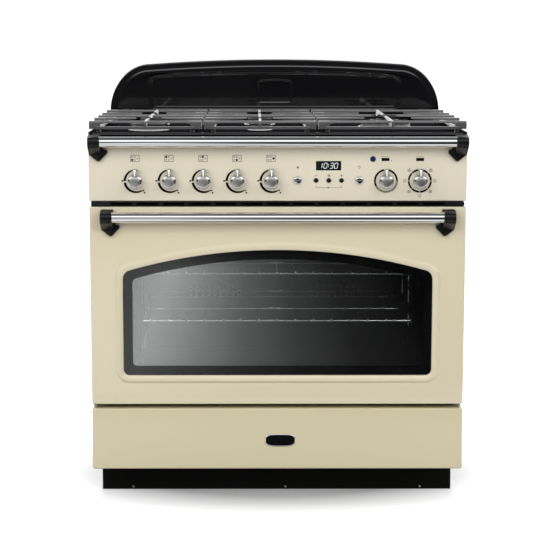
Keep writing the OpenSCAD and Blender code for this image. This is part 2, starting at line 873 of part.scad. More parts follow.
module ignition_button() { color(chrome) push_button(ignition_x, button_r, 7, 26, 4); }
module light_button() { color(chrome) push_button(light_x, button_r, 7, 26, 4); }
module timer_button_minus() { color(black) push_button(timer_x[0], timer_r, 3, 15, 1.5); }
module timer_button_mode() { color(black) push_button(timer_x[1], timer_r, 3, 15, 1.5); }
module timer_button_plus() { color(black) push_button(timer_x[2], timer_r, 3, 15, 1.5); }

// A cast bracket: an arm that holds the rail's end in a socket and a five-sided foot on the panel
module rail_bracket(outer, z) {
    difference() {
        union() {
            along_x(outer - bracket_w, outer) polygon(concat(
                [[face_y, z + 4], [face_y, z - 36], [face_y - 10, z - 38]],
                arc(face_y - rail_out, z, boss_r, 250, 110, 8), [[face_y - rail_out + 14, z + boss_r]]
            ));
            along_y(-12, 0) polygon(concat(
                [[outer, z + 4], [outer - bracket_w, z + 4]],
                arc(outer - 38, z - 25, 5, 110, 225, 4),
                arc(outer - 22, z - 43, 5, 225, 300, 4), [[outer, z - 35]]
            ));
        }
        bar_x(outer - bracket_w - 1, outer - bracket_w + socket_depth, -rail_out, z, rail_r + shaft_gap);
    }
}

module towel_rail_brackets() {
    color(black) mirrored() rail_bracket(half_w - towel_inset, towel_z);
}

module door_handle_brackets() {
    color(black) mirrored() rail_bracket(half_w - handle_inset, handle_z);
}

module rail(inset, z) {
    end = half_w - inset - bracket_w + socket_depth - 0.5;
    color(chrome) bar_x(-end, end, -rail_out, z, rail_r);
}

module towel_rail() { rail(towel_inset, towel_z); }
module door_handle() { rail(handle_inset, handle_z); }

// The enamelled oven box with its front lip and the holes in its rear wall
module oven_liner() {
    color(enamel) difference() {
        union() {
            block(-oven_half - lip_w, oven_half + lip_w, flange_y, flange_y + sheet,
                oven_z - oven_frame_low - 4, oven_top + oven_frame_high + 4);
            block(-oven_half - sheet, oven_half + sheet, flange_y, oven_back + sheet,
                oven_z - sheet, oven_top + sheet);
        }
        block(-oven_half, oven_half, flange_y - 1, oven_back, oven_z, oven_top);
        for (x = [-fan_x, fan_x]) {
            bar_y(x, fan_z, oven_back - 1, oven_back + 3, 8);
            for (s = [-1, 1])
                bar_y(x + terminal_x * s, fan_z - ring_r * cos(asin(terminal_x / ring_r)), oven_back - 1, oven_back + 3,
                    terminal_r + shaft_gap);
        }
        bar_y(0, lamp_z, oven_back - 1, oven_back + 3, lamp_r - 3 + shaft_gap);
        for (x = element_ends)
            bar_y(x, hairpin_z, oven_back - 1, oven_back + 3, element_r + shaft_gap);
    }
}

// The gasket round the oven's mouth
module oven_seal() {
    x = oven_half + seal_out;
    low = oven_z - seal_out + 3;
    high = oven_top + seal_out - 3;
    y = flange_y - seal_r;
    corner = 14;
    color(black) {
        for (z = [low, high])
            bar_x(corner - x, x - corner, y, z, seal_r);
        mirrored() {
            bar_z(x, y, low + corner, high - corner, seal_r);
            seal_corner(x - corner, y, high - corner, corner, 0);
            seal_corner(x - corner, y, low + corner, corner, 270);
        }
    }
}

module seal_corner(x, y, z, r, turn) {
    translate([x, face_y + y, z]) rotate([90, 0, 0]) rotate([0, 0, turn])
        rotate_extrude(angle = 90) translate([r, 0]) circle(seal_r);
}

// Covers over the fans: plates with returns, a slotted intake and a gap for the air all round
module fan_baffles() {
    low = oven_z + baffle_low;
    color([0.3, 0.31, 0.32]) for (x = [-fan_x, fan_x])
        difference() {
            block(x - baffle_w / 2, x + baffle_w / 2, baffle_y, oven_back, low, low + baffle_h);
            block(x - baffle_w / 2 + sheet, x + baffle_w / 2 - sheet, baffle_y + sheet, oven_back + 1,
                low + sheet, low + baffle_h - sheet);
            for (i = [-4:4])
                for (j = [0:2])
                    block(x + i * 16 - 5, x + i * 16 + 5, baffle_y - 1, baffle_y + 3,
                        fan_z - 18 + j * 13, fan_z - 10 + j * 13);
            for (s = [-1, 1])
                for (k = [0:5])
                    block(x + s * baffle_w / 2 - 3, x + s * baffle_w / 2 + 3, baffle_y + 8, oven_back - 8,
                        low + 30 + k * 40, low + 50 + k * 40);
        }
}

module fan_motors() {
    color(steel) for (x = [-fan_x, fan_x])
        difference() {
            union() {
                bar_y(x, fan_z, oven_back + sheet, oven_back + sheet + motor_d, motor_r);
                bar_y(x, fan_z, oven_back + sheet, oven_back + sheet + 4, motor_r + 10);
            }
            bar_y(x, fan_z, oven_back, oven_back + motor_d - 6, pin_r + shaft_gap);
        }
}

// An impeller: a disc with bent blades on its shaft
module fan(x) {
    front = oven_back - 5 - fan_depth;
    color(chrome) {
        bar_y(x, fan_z, front, oven_back + motor_d - 8, pin_r);
        bar_y(x, fan_z, front, front + fan_depth, 11);
        bar_y(x, fan_z, front + fan_depth - 1.5, front + fan_depth, fan_r);
        for (i = [0:7])
            translate([x, face_y, fan_z]) rotate([0, 45 * i, 0]) translate([0, front, 0])
                rotate([0, 12, 0]) cube_at(8, fan_r - 1.5, 0, fan_depth, -0.8, 0.8);
    }
}

module cube_at(x0, x1, y0, y1, z0, z1) {
    translate([x0, y0, z0]) cube([x1 - x0, y1 - y0, z1 - z0]);
}

module fan_left() { fan(-fan_x); }
module fan_right() { fan(fan_x); }

// Two ring elements round the fans and four hairpins under the oven's roof
module oven_elements() {
    ring_y = oven_back - 12;
    color([0.35, 0.34, 0.34]) {
        for (x = [-fan_x, fan_x]) {
            gap = asin(terminal_x / ring_r);
            translate([x, face_y + ring_y, fan_z]) rotate([90, 0, 0]) rotate([0, 0, gap - 90])
                rotate_extrude(angle = 360 - 2 * gap) translate([ring_r, 0]) circle(element_r);
            for (s = [-1, 1])
                bar_y(x + terminal_x * s, fan_z - ring_r * cos(gap), ring_y - 2, oven_back + 12, terminal_r);
        }
        for (i = [0:2:6]) {
            x0 = element_ends[i];
            x1 = element_ends[i + 1];
            bend = (x1 - x0) / 2;
            bar_y(x0, hairpin_z, hairpin_front, oven_back + 12, element_r);
            bar_y(x1, hairpin_z, hairpin_front, oven_back + 12, element_r);
            translate([(x0 + x1) / 2, face_y + hairpin_front, hairpin_z]) rotate([0, 0, 180])
                rotate_extrude(angle = 180) translate([bend, 0]) circle(element_r);
        }
    }
}

module oven_lamp() {
    color([0.9, 0.9, 0.85]) turned(0, lamp_z, oven_back + 20) polygon(concat(
        [[0, 0], [lamp_r - 3, 0], [lamp_r - 3, 20], [lamp_r, 20], [lamp_r, 25]],
        arc(lamp_r - 8, 25, 8, 0, 90, 4), [[0, 33]]
    ));
}

// The chromed wire ladders at each side of the oven
module shelf_runners() {
    low = oven_z + ladder_low;
    top = low + (ladder_levels - 1) * ladder_pitch + ladder_gap;
    middle = (ladder_front + shelf_back) / 2;
    color(chrome) mirrored() {
        for (y = [ladder_front, middle, shelf_back]) {
            bar_z(post_x, y, low - 6, top + 6, post_r);
            for (z = [low - 4, top + 4])
                bar_x(post_x, oven_half, y, z, ladder_wire_r - 0.5);
        }
        for (i = [0:ladder_levels - 1])
            for (z = [low + i * ladder_pitch, low + i * ladder_pitch + ladder_gap])
                bar_y(ladder_x, z, ladder_front - 4, shelf_back + 4, ladder_wire_r);
    }
}

// A wire shelf: an edge frame, fore-and-aft wires, a cross bar and a rear stop
module oven_shelf(level) {
    z = oven_z + ladder_low + level * ladder_pitch + wire_seat;
    edge = shelf_half - shelf_inset;
    pitch = 2 * edge / (shelf_wires - 1);
    color(chrome) {
        for (x = [-shelf_half, shelf_half])
            bar_y(x, z, shelf_front, shelf_back, shelf_rod_r);
        for (y = [shelf_front, shelf_back])
            bar_x(-shelf_half, shelf_half, y, z, shelf_rod_r - 0.2);
        for (i = [0:shelf_wires - 1])
            bar_y(i * pitch - edge, z + 1, shelf_front, shelf_back, shelf_wire_r);
        bar_x(-shelf_half, shelf_half, (shelf_front + shelf_back) / 2, z - 1, shelf_rod_r - 0.6);
        bar_x(-edge, edge, shelf_back, z + shelf_bump + 6, shelf_wire_r + 0.5);
        for (x = [-edge, 0, edge])
            bar_z(x, shelf_back, z, z + shelf_bump + 7.5, shelf_wire_r + 0.2);
    }
}

module oven_shelf_lower() { oven_shelf(lower_level); }
module oven_shelf_upper() { oven_shelf(upper_level); }

// The window's outline, grown by m
function window_outline(m) = arch_outline(window_w + 2 * m, window_z - m, window_top + m, window_arch_r + m,
    window_low_r + max(m, 0), window_high_r + max(m, 0));

// The door's pressed outer skin with its arched window and raised bead
module door_panel() {
    color(cream) difference() {
        union() {
            pressed_shell(front_half_w, door_z, door_top, skin_depth, front_r);
            along_y(-bead_t, sheet) polygon(window_outline(bead_out));
        }
        along_y(-bead_t - 1, 0) polygon(window_outline(bead_out - bead_w));
        along_y(-2, sheet + 1) polygon(window_outline(0));
        hinge_slots();
    }
}

// Room for the hinge arms to swing from the door's back to its lower edge
module hinge_slots() {
    block_pair(arm_x - arm_slot / 2, arm_x + arm_slot / 2, hinge_y - 9, front_t + 1,
        door_z - 1, door_z + hinge_rise + arm_h / 2 + 1);
}

module door_outer_glass() {
    color([0.2, 0.22, 0.23, 0.6]) along_y(sheet, sheet + glass_t) polygon(window_outline(glass_lap));
}

// The door's rear pan with the inner window and the cheeks that carry the hinge pins
module door_inner_frame() {
    w = front_half_w - inner_inset;
    low = door_z + 1;
    high = door_top - 8;
    color(enamel) {
        difference() {
            block(-w, w, skin_depth - 6, front_t, low + sheet, high);
            block(-w + sheet, w - sheet, skin_depth - 7, front_t - sheet, low + 2 * sheet, high - sheet);
            block(-oven_half + 15, oven_half - 15, front_t - 3, front_t + 1, oven_z + 14, oven_top - 14);
            hinge_slots();
        }
        mirrored() for (s = [-1, 1])
            hinge_cheek(arm_x + s * (arm_slot + cheek_t) / 2);
    }
}

module hinge_cheek(x) {
    difference() {
        block(x - cheek_t / 2, x + cheek_t / 2, hinge_y - 6.5, front_t - sheet, door_z + 1 + 2 * sheet, hinge_z + 40);
        bar_x(x - cheek_t, x + cheek_t, hinge_y, hinge_z, pin_r + shaft_gap);
    }
}

module door_inner_glass() {
    color([0.3, 0.32, 0.33, 0.5])
        block(-oven_half + 5, oven_half - 5, front_t - sheet - glass_t, front_t - sheet, oven_z + 4, oven_top - 4);
}

module drawer_front() {
    color(cream) pressed_shell(front_half_w, drawer_z, drawer_top, front_t, front_r);
}

// The drawer's steel tray with its slides
module drawer_tray() {
    color(steel) {
        difference() {
            block(-tray_half, tray_half, sheet, tray_back, tray_z, tray_z + tray_h);
            block(-tray_half + sheet, tray_half - sheet, 2 * sheet, tray_back - sheet, tray_z + sheet,
                tray_z + tray_h + 1);
        }
        block_pair(tray_half - 1, tray_half + slide_w, front_t + 12, tray_back, slide_z, slide_z + slide_h);
    }
}

// A bar of a pan support that runs along Y
module rib_y(x, y0, y1, z0, z1, w) {
    block(x - w / 2, x + w / 2, y0, y1, z0, z1);
}

// A finger along X: a block on the side rail, and a blade with an arched underside that thins to its tip
module finger_x(x_out, x_tip, y, root, tip) {
    s = sign(x_tip - x_out);
    inner = x_out + s * block_len;
    block(min(x_out, inner), max(x_out, inner), y - block_w / 2, y + block_w / 2, bar_low, finger_top);
    intersection() {
        along_y(y - block_w, y + block_w) polygon([
            [inner - s, finger_top - root - 4], [inner - s, finger_top], [x_tip, finger_top], [x_tip, finger_top - tip],
            [x_tip - s * neck, finger_top - tip - (root - tip) / 4], [inner + s * neck, finger_top - root]
        ]);
        along_z(bar_low, finger_top) translate([0, face_y + y]) polygon([
            [inner - s, -bar_w / 2], [inner - s, bar_w / 2], [x_tip, tip_w / 2], [x_tip, -tip_w / 2]
        ]);
    }
}

// A cast pan support between x0 and x1, with a burner at each place in the list
module pan_support(x0, x1, burner_y, reach) {
    xc = (x0 + x1) / 2;
    color(iron) {
        for (x = [x0 + rail_in, x1 - rail_in]) {
            rib_y(x, support_front, support_back, bar_low, bar_top, bar_w);
            for (y = [support_front + foot_in, support_back - foot_in])
                bar_z(x, y, well_z + move_gap, bar_low + 1, foot_r);
        }
        for (y = [support_front, support_back - bar_w])
            block(x0 + rail_in, x1 - rail_in, y, y + bar_w, bar_low, bar_top);
        for (y = finger_y) {
            near = min([for (b = burner_y) abs(y - b)]);
            ends = y < finger_y[1] || y > finger_y[3];
            tip = ends ? 0 : near < 1 ? tip_gap : reach;
            root = ends ? end_h : tip > 0 ? root_h : cross_h;
            thin = tip > 0 ? tip_h : root;
            finger_x(x0, tip > 0 ? xc - tip : xc + 1, y, root, thin);
            finger_x(x1, tip > 0 ? xc + tip : xc - 1, y, root, thin);
        }
        spine(xc, burner_y);
    }
}

// The fore-and-aft bars over the middle, broken over each burner
module spine(x, burner_y) {
    ends = concat([support_front], burner_y, [support_back]);
    for (i = [0:len(ends) - 2]) {
        a = i == 0 ? ends[0] : ends[i] + tip_gap;
        b = i == len(ends) - 2 ? ends[i + 1] : ends[i + 1] - tip_gap;
        along_x(x - tip_w / 2, x + tip_w / 2) polygon([
            [face_y + a, i == 0 ? bar_low : finger_top - tip_h], [face_y + a, finger_top], [face_y + b, finger_top],
            [face_y + b, i == len(ends) - 2 ? bar_low : finger_top - tip_h], [face_y + (a + b) / 2, finger_top - root_h]
        ]);
    }
}

module pan_support_left() {
    pan_support(left_x - support_w / 2, left_x + support_w / 2, [front_burner, rear_burner], 0);
}

module pan_support_centre() {
    pan_support(middle_x - support_w / 2, middle_x + support_w / 2, [front_burner, rear_burner], 0);
}

module pan_support_right() {
    pan_support(right_low, half_w - 1, [wok_y], wok_gap);
}

chassis_frame();
base_tray();
side_panel_left();
side_panel_right();
rear_cover();
plinth();
levelling_feet();
rear_rollers();
hotplate();
splashback();
vent_trim();
control_panel();
clock_module();
neon_lens();
oven_controls();
gas_manifold();
burner_cups();
burner_crowns();
burner_caps();
towel_rail();
towel_rail_brackets();
oven_liner();
oven_seal();
fan_baffles();
fan_motors();
fan_left();
fan_right();
oven_elements();
oven_lamp();
shelf_runners();
oven_shelf_lower();
oven_shelf_upper();
door_panel();
door_outer_glass();
door_inner_frame();
door_inner_glass();
door_handle();
door_handle_brackets();
drawer_front();
drawer_tray();
hob_knob_1();
hob_knob_2();
hob_knob_3();
hob_knob_4();
hob_knob_5();
valve_spindle_1();
valve_spindle_2();
valve_spindle_3();
valve_spindle_4();
valve_spindle_5();
oven_temperature_knob();
oven_function_knob();
ignition_button();
light_button();
timer_button_minus();
timer_button_mode();
timer_button_plus();
pan_support_left();
pan_support_centre();
pan_support_right();
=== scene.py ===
"""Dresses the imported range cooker: finishes, refined pieces, printed marks, floor, lights and camera."""

import json
import logging
import math
from dataclasses import dataclass, replace
from enum import Enum

import bmesh
import bpy
from mathutils import Matrix, Vector


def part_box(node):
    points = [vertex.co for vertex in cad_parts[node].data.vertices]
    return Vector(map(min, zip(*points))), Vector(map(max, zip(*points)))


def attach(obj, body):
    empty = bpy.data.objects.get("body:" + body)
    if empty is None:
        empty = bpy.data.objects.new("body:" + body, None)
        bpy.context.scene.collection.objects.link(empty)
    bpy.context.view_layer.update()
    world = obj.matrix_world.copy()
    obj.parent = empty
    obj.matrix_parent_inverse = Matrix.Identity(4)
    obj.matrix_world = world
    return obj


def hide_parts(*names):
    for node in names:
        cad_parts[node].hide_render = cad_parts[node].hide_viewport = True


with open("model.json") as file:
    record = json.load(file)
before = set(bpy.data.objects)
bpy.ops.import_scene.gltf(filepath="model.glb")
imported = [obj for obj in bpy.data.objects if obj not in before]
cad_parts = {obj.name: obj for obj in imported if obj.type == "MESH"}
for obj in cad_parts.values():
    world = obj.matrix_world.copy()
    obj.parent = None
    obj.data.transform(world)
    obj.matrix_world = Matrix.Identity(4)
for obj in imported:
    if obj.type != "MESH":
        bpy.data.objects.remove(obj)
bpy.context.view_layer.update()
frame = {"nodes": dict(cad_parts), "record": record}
LOG = logging.getLogger("range_cooker")
MM = 0.001
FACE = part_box("drawer_front")[0].y
BODY_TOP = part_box("hotplate")[1].z / MM
PANEL_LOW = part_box("control_panel")[0].z / MM
DOOR_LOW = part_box("door_panel")[0].z / MM
DOOR_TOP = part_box("door_panel")[1].z / MM
HALF_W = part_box("hotplate")[1].x / MM
SUPPORT_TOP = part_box("pan_support_left")[1].z
WHITE = (1, 1, 1, 1)
Pair = tuple[float, float]
Point = tuple[float, float, float]
Color = tuple[float, float, float]
Ring = list[Point]
Mesh = bmesh.types.BMesh
Socket = bpy.types.NodeSocket
Value = float | tuple[float, ...] | bpy.types.Material | Socket
Inputs = dict[str | int, Value]


class Side(Enum):
    """The two sides of the cooker."""

    LEFT = -1
    RIGHT = 1


class Facing(Enum):
    """The way that a row of heads faces, along Y."""

    FRONT = -1
    BACK = 1


class Operation(Enum):
    """The ways that a node tree puts two numbers together."""

    MULTIPLY = "MULTIPLY"
    MAXIMUM = "MAXIMUM"
    LESS_THAN = "LESS_THAN"


def place(x: float, depth: float, z: float) -> Vector:
    """Turns millimetres, with depth measured back from the door face, into a point of the frame.

    Args:
        x: Distance to the right of the middle.
        depth: Distance behind the door face.
        z: Height above the floor.

    Returns:
        The point in metres.
    """
    return Vector((x * MM, FACE + depth * MM, z * MM))


class Graph:
    """A node tree that grows a node at a time."""

    def __init__(self, tree: bpy.types.NodeTree) -> None:
        """Keeps the tree."""
        self.tree = tree

    def feed(self, socket: Socket, value: Value) -> None:
        """Gives an input a constant, or the output that drives it.

        Args:
            socket: The input.
            value: The constant or the output.
        """
        if isinstance(value, Socket):
            self.tree.links.new(value, socket)
        else:
            socket.default_value = value

    def add(self, kind: str, inputs: Inputs | None = None, **settings: object) -> bpy.types.Node:
        """Adds a node.

        Args:
            kind: The node's type.
            inputs: What each input takes, by the input's name or number.
            **settings: The node's own settings, such as its operation.

        Returns:
            The node.
        """
        node = self.tree.nodes.new(kind)
        for name, setting in settings.items():
            setattr(node, name, setting)
        for key, value in (inputs or {}).items():
            self.feed(node.inputs[key], value)
        return node

    def group(self, tree: bpy.types.NodeTree, inputs: Inputs) -> bpy.types.Node:
        """Adds a shader group with its own values."""
        return self.add("ShaderNodeGroup", inputs, node_tree=tree)

    def coords(self, kind: str = "Object") -> Socket:
        """Returns the surface's coordinates of a kind."""
        return self.add("ShaderNodeTexCoord").outputs[kind]

    def axes(self, vector: Socket) -> bpy.types.NodeOutputs:
        """Returns the X, Y and Z of a vector."""
        return self.add("ShaderNodeSeparateXYZ", {"Vector": vector}).outputs

    def vector(self, x: Value, y: Value, z: Value) -> Socket:
        """Returns a vector made of three numbers."""
        return self.add("ShaderNodeCombineXYZ", {"X": x, "Y": y, "Z": z}).outputs["Vector"]

    def scaled(self, vector: Socket, by: Value) -> Socket:
        """Returns a vector whose parts are multiplied by another's."""
        return self.add("ShaderNodeVectorMath", {0: vector, 1: by}, operation="MULTIPLY").outputs["Vector"]

    def length(self, vector: Socket) -> Socket:
        """Returns a vector's length."""
        return self.add("ShaderNodeVectorMath", {0: vector}, operation="LENGTH").outputs["Value"]

    def noise(self, vector: Socket, scale: Value, detail: float = 2.0) -> Socket:
        """Returns a smooth noise."""
        inputs = {"Vector": vector, "Scale": scale, "Detail": detail}
        return self.add("ShaderNodeTexNoise", inputs).outputs["Fac"]

    def combine(self, operation: Operation, one: Value, two: Value) -> Socket:
        """Returns two numbers put together by an operation."""
        return self.add("ShaderNodeMath", {0: one, 1: two}, operation=operation.value).outputs["Value"]

    def mix(self, factor: Value, one: Value, two: Value) -> Socket:
        """Returns a colour between two others."""
        inputs = {"Factor": factor, "A": one, "B": two}
        return self.add("ShaderNodeMix", inputs, data_type="RGBA").outputs["Result"]

    def blend(self, factor: Value, one: Socket, two: Socket) -> Socket:
        """Returns a shader between two others."""
        return self.add("ShaderNodeMixShader", {0: factor, 1: one, 2: two}).outputs["Shader"]

    def ranged(self, value: Socket, ends: tuple[Value, Value], levels: tuple[Value, Value],
               smooth: bool = True) -> Socket:
        """Runs a number from one level to another between two ends.

        Args:
            value: What is compared with the ends.
            ends: The two ends.
            levels: The level at each end, kept beyond it.
            smooth: Whether the levels ease into each other.

        Returns:
            The number.
        """
        inputs = {"Value": value, "From Min": ends[0], "From Max": ends[1],
                  "To Min": levels[0], "To Max": levels[1]}
        kind = "SMOOTHSTEP" if smooth else "LINEAR"
        return self.add("ShaderNodeMapRange", inputs, interpolation_type=kind).outputs["Result"]

    def ramp(self, value: Socket, stops: tuple[Pair, ...]) -> Socket:
        """Runs a grey through a row of stops.

        Args:
            value: What is compared with the stops.
            stops: Each stop's place and its grey level.

        Returns:
            The grey.
        """
        node = self.add("ShaderNodeValToRGB", {"Fac": value})
        elements = node.color_ramp.elements
        kept = [elements[0], elements[1]]
        for stop, (at, level) in zip(kept, (stops[0], stops[-1])):
            stop.position = at
            stop.color = (level, level, level, 1)
        for at, level in stops[1:-1]:
            elements.new(at).color = (level, level, level, 1)
        return node.outputs["Color"]


def new_group(name: str, inputs: dict[str, float], outputs: list[str]) -> bpy.types.NodeTree:
    """Makes an empty shader group with float inputs and outputs.

    Args:
        name: The group's name.
        inputs: Each input's name and default.
        outputs: The names of the outputs.

    Returns:
        The group's tree.
    """
    tree = bpy.data.node_groups.new(name, "ShaderNodeTree")
    for title, value in inputs.items():
        socket = tree.interface.new_socket(title, in_out="INPUT", socket_type="NodeSocketFloat")
        socket.default_value = value
    for title in outputs:
        tree.interface.new_socket(title, in_out="OUTPUT", socket_type="NodeSocketFloat")
    tree.nodes.new("NodeGroupInput")
    tree.nodes.new("NodeGroupOutput")
    return tree


class FinishEffects:
    """Shader groups that several finishes share, built once."""

    def __init__(self) -> None:
        """Builds the three groups."""
        self.grain = self._grain_group()
        self.flecks = self._fleck_group()
        # A mask for painted light on tops and painted shade below them.
        self.lit_top = self._lit_top_group()

    @staticmethod
    def _grain_group() -> bpy.types.NodeTree:
        """Builds the group for grain: a height, a roughness and a tone that vary over the surface.

        Returns:
            The group's tree.
        """
        defaults = {"Scale": 100.0, "Stretch": 1.0, "Rough Low": 0.3, "Rough High": 0.4}
        tree = new_group("surface_grain", defaults, ["Height", "Roughness", "Tone"])
        graph = Graph(tree)
        given, result = tree.nodes["Group Input"].outputs, tree.nodes["Group Output"].inputs
        coords = graph.coords()
        drawn = graph.scaled(coords, graph.vector(given["Stretch"], 1.0, 1.0))
        fine = graph.noise(drawn, given["Scale"], detail=4.0)
        broad = graph.noise(coords, 7.0)
        rough = graph.ranged(fine, (0.0, 1.0), (given["Rough Low"], given["Rough High"]), smooth=False)
        for title, value in (("Height", fine), ("Roughness", rough), ("Tone", broad)):
            graph.feed(result[title], value)
        return tree

    @staticmethod
    def _fleck_group() -> bpy.types.NodeTree:
        """Builds the group for the small flecks of oven and hob enamel.

        Returns:
            The group's tree.
        """
        tree = new_group("enamel_flecks", {"Scale": 900.0, "Amount": 0.1}, ["Mask"])
        graph = Graph(tree)
        given, result = tree.nodes["Group Input"].outputs, tree.nodes["Group Output"].inputs
        cells = graph.add("ShaderNodeTexVoronoi", {"Vector": graph.coords(), "Scale": given["Scale"]})
        inside = graph.combine(Operation.LESS_THAN, cells.outputs["Distance"], given["Amount"])
        graph.feed(result["Mask"], inside)
        return tree

    @staticmethod
    def _lit_top_group() -> bpy.types.NodeTree:
        """Builds the group for a casting's painted light and shade: a mask from 0 to 1 between two heights in
        metres, so the tops come out lighter.

        Returns:
            The group's tree.
        """
        tree = new_group("painted_lit_top", {"Low": 0.0, "High": 1.0}, ["Mask"])
        graph = Graph(tree)
        given, result = tree.nodes["Group Input"].outputs, tree.nodes["Group Output"].inputs
        height = graph.axes(graph.coords())["Z"]
        mask = graph.ranged(height, (given["Low"], given["High"]), (0.0, 1.0), smooth=False)
        graph.feed(result["Mask"], mask)
        return tree


@dataclass(frozen=True)
class Finish:
    """A surface finish. Colours are linear and lengths are in metres."""

    name: str
    color: Color
    shade: Color
    roughness: float
    spread: float = 0.05
    metallic: float = 0.0
    coat: float = 0.0
    coat_roughness: float = 0.03
    grain: float = 120.0
    stretch: float = 1.0
    bump: float = 0.02
    relief: float = 0.001
    fleck: Color | None = None
    fleck_size: float = 0.12
    transmission: float = 0.0
    ior: float = 1.5
    glow: float = 0.0
    specular: float = 0.5
    sheen: float = 0.0
    # Painted light and shade: above the higher height the colour is kept as a lit top; below the lower one it
    # falls to this share as painted shade.
    lit_heights: Pair | None = None
    painted_shade_tone: float = 0.3

    def material(self, effects: FinishEffects) -> bpy.types.Material:
        """Builds the finish's material.

        Args:
            effects: The shared shader groups.

        Returns:
            The material.
        """
        made = bpy.data.materials.new(self.name)
        made.use_nodes = True
        graph = Graph(made.node_tree)
        grain = graph.group(effects.grain, {
            "Scale": self.grain, "Stretch": self.stretch,
            "Rough Low": max(self.roughness - self.spread, 0.0), "Rough High": self.roughness + self.spread
        }).outputs
        inputs: dict[str, Value] = {
            "Metallic": self.metallic, "Coat Weight": self.coat, "Coat Roughness": self.coat_roughness,
            "Transmission Weight": self.transmission, "IOR": self.ior, "Specular IOR Level": self.specular,
            "Sheen Weight": self.sheen, "Base Color": self._base_color(graph, effects, grain["Tone"]),
            "Roughness": self.roughness if self.transmission else grain["Roughness"]
        }
        if self.bump:
            bump = graph.add("ShaderNodeBump", {"Strength": self.bump, "Distance": self.relief,
                                                "Height": grain["Height"]})
            inputs["Normal"] = bump.outputs["Normal"]
        if self.glow:
            inputs["Emission Color"] = (*self.color, 1)
            inputs["Emission Strength"] = self.glow
        shader = made.node_tree.nodes["Principled BSDF"]
        for title, value in inputs.items():
            graph.feed(shader.inputs[title], value)
        return made

    def _base_color(self, graph: Graph, effects: FinishEffects, tone: Socket) -> Socket:
        """Builds the colour: two shades that drift over the surface, with painted light on top and painted
        shade below, and flecks, where they show.

        Args:
            graph: The material's node tree.
            effects: The shared shader groups.
            tone: The slow change from the shade to the colour.

        Returns:
            The colour.
        """
        color = graph.mix(tone, (*self.shade, 1), (*self.color, 1))
        if self.lit_heights:
            # Painted shade low down and painted light on top, as light from above would fall on a casting.
            lit_top_mask = graph.group(effects.lit_top, {"Low": self.lit_heights[0], "High": self.lit_heights[1]}).outputs["Mask"]
            color = graph.mix(lit_top_mask, (*(self.painted_shade_tone * c for c in self.color), 1), color)
        if self.fleck:
            flecks = graph.group(effects.flecks, {"Amount": self.fleck_size}).outputs["Mask"]
            color = graph.mix(flecks, color, (*self.fleck, 1))
        return color


CREAM = Finish("cream_enamel", (0.715, 0.650, 0.470), (0.700, 0.632, 0.450), 0.24, 0.04,
               coat=1.0, grain=260)
# A lighter, paler copy of the cream for the panel: painted light that makes up for the reflection its thinner
# coat loses.
LIT_PANEL_CREAM = replace(CREAM, name="panel_enamel_painted_light", color=(0.742, 0.684, 0.546), shade=(0.727, 0.666, 0.524),
                      coat=0.5)
# A darker copy of the cream for the drawer: painted shade for its lower, less lit place.
SHADED_DRAWER_CREAM = replace(CREAM, name="drawer_enamel_painted_shade", color=(0.666, 0.597, 0.390), shade=(0.652, 0.580, 0.373))
BLACK_ENAMEL = Finish("black_enamel", (0.006, 0.006, 0.0065), (0.004, 0.004, 0.005), 0.07, 0.02, coat=0.5,
                      grain=220, bump=0.006, fleck=(0.012, 0.012, 0.013), fleck_size=0.05)
HOB_ENAMEL = Finish("hob_enamel", (0.004, 0.004, 0.0045), (0.003, 0.003, 0.0035), 0.25, 0.03, grain=220,
                    bump=0.006, fleck=(0.01, 0.01, 0.011), fleck_size=0.05, specular=0.0)
SIDE_BLACK = replace(BLACK_ENAMEL, name="side_paint", roughness=0.36, spread=0.06, coat=0.0, specular=0.3)
PLINTH_BLACK = Finish("plinth_black", (0.005, 0.005, 0.004), (0.003, 0.003, 0.003), 0.55, 0.08, grain=400,
                      bump=0.03, specular=0.15)
BLACK_CASTING = Finish("black_casting", (0.006, 0.006, 0.0065), (0.004, 0.004, 0.0045), 0.3, 0.08,
                       specular=0.25, grain=700, bump=0.08)
# The supports' tops are painted lighter and their lower faces painted darker, standing in for light from
# above.
CAST_IRON = Finish("support_iron", (0.20, 0.20, 0.204), (0.08, 0.08, 0.082), 0.4, 0.1, coat=0.3,
                   coat_roughness=0.3, sheen=0.45, grain=260, bump=0.5,
                   lit_heights=(SUPPORT_TOP - 0.0055, SUPPORT_TOP - 0.0025))
CHROME = Finish("bright_chrome", (0.84, 0.85, 0.86), (0.80, 0.81, 0.82), 0.045, 0.015, metallic=1.0, grain=60,
                bump=0.002)
# A darker copy of the chrome for the knobs: painted shade that dims their reflections.
DIMMED_KNOB_CHROME = replace(CHROME, name="knob_chrome_painted_shade", color=(0.64, 0.645, 0.65), shade=(0.58, 0.585, 0.59),
                      roughness=0.08)
# White, not chrome, for the shelf wires' ends: painted glints.
GLINT_WHITE_WIRE_END = Finish("wire_end", (0.92, 0.93, 0.94), (0.88, 0.89, 0.9), 0.3, bump=0.002)
SATIN_CHROME = Finish("satin_chrome", (0.68, 0.67, 0.66), (0.62, 0.61, 0.605), 0.36, 0.06, metallic=1.0,
                      grain=900, stretch=0.08)
STEEL = Finish("zinc_steel", (0.55, 0.56, 0.58), (0.45, 0.46, 0.48), 0.38, 0.1, metallic=1.0, grain=40,
               bump=0.03)
OVEN_ENAMEL = Finish("oven_enamel", (0.034, 0.036, 0.04), (0.024, 0.026, 0.029), 0.3, 0.06, coat=0.3,
                     grain=300, bump=0.04, fleck=(0.35, 0.36, 0.38), fleck_size=0.09)
ALLOY = Finish("burner_alloy", (0.56, 0.56, 0.57), (0.44, 0.44, 0.45), 0.46, 0.1, metallic=1.0, grain=800,
               bump=0.15)
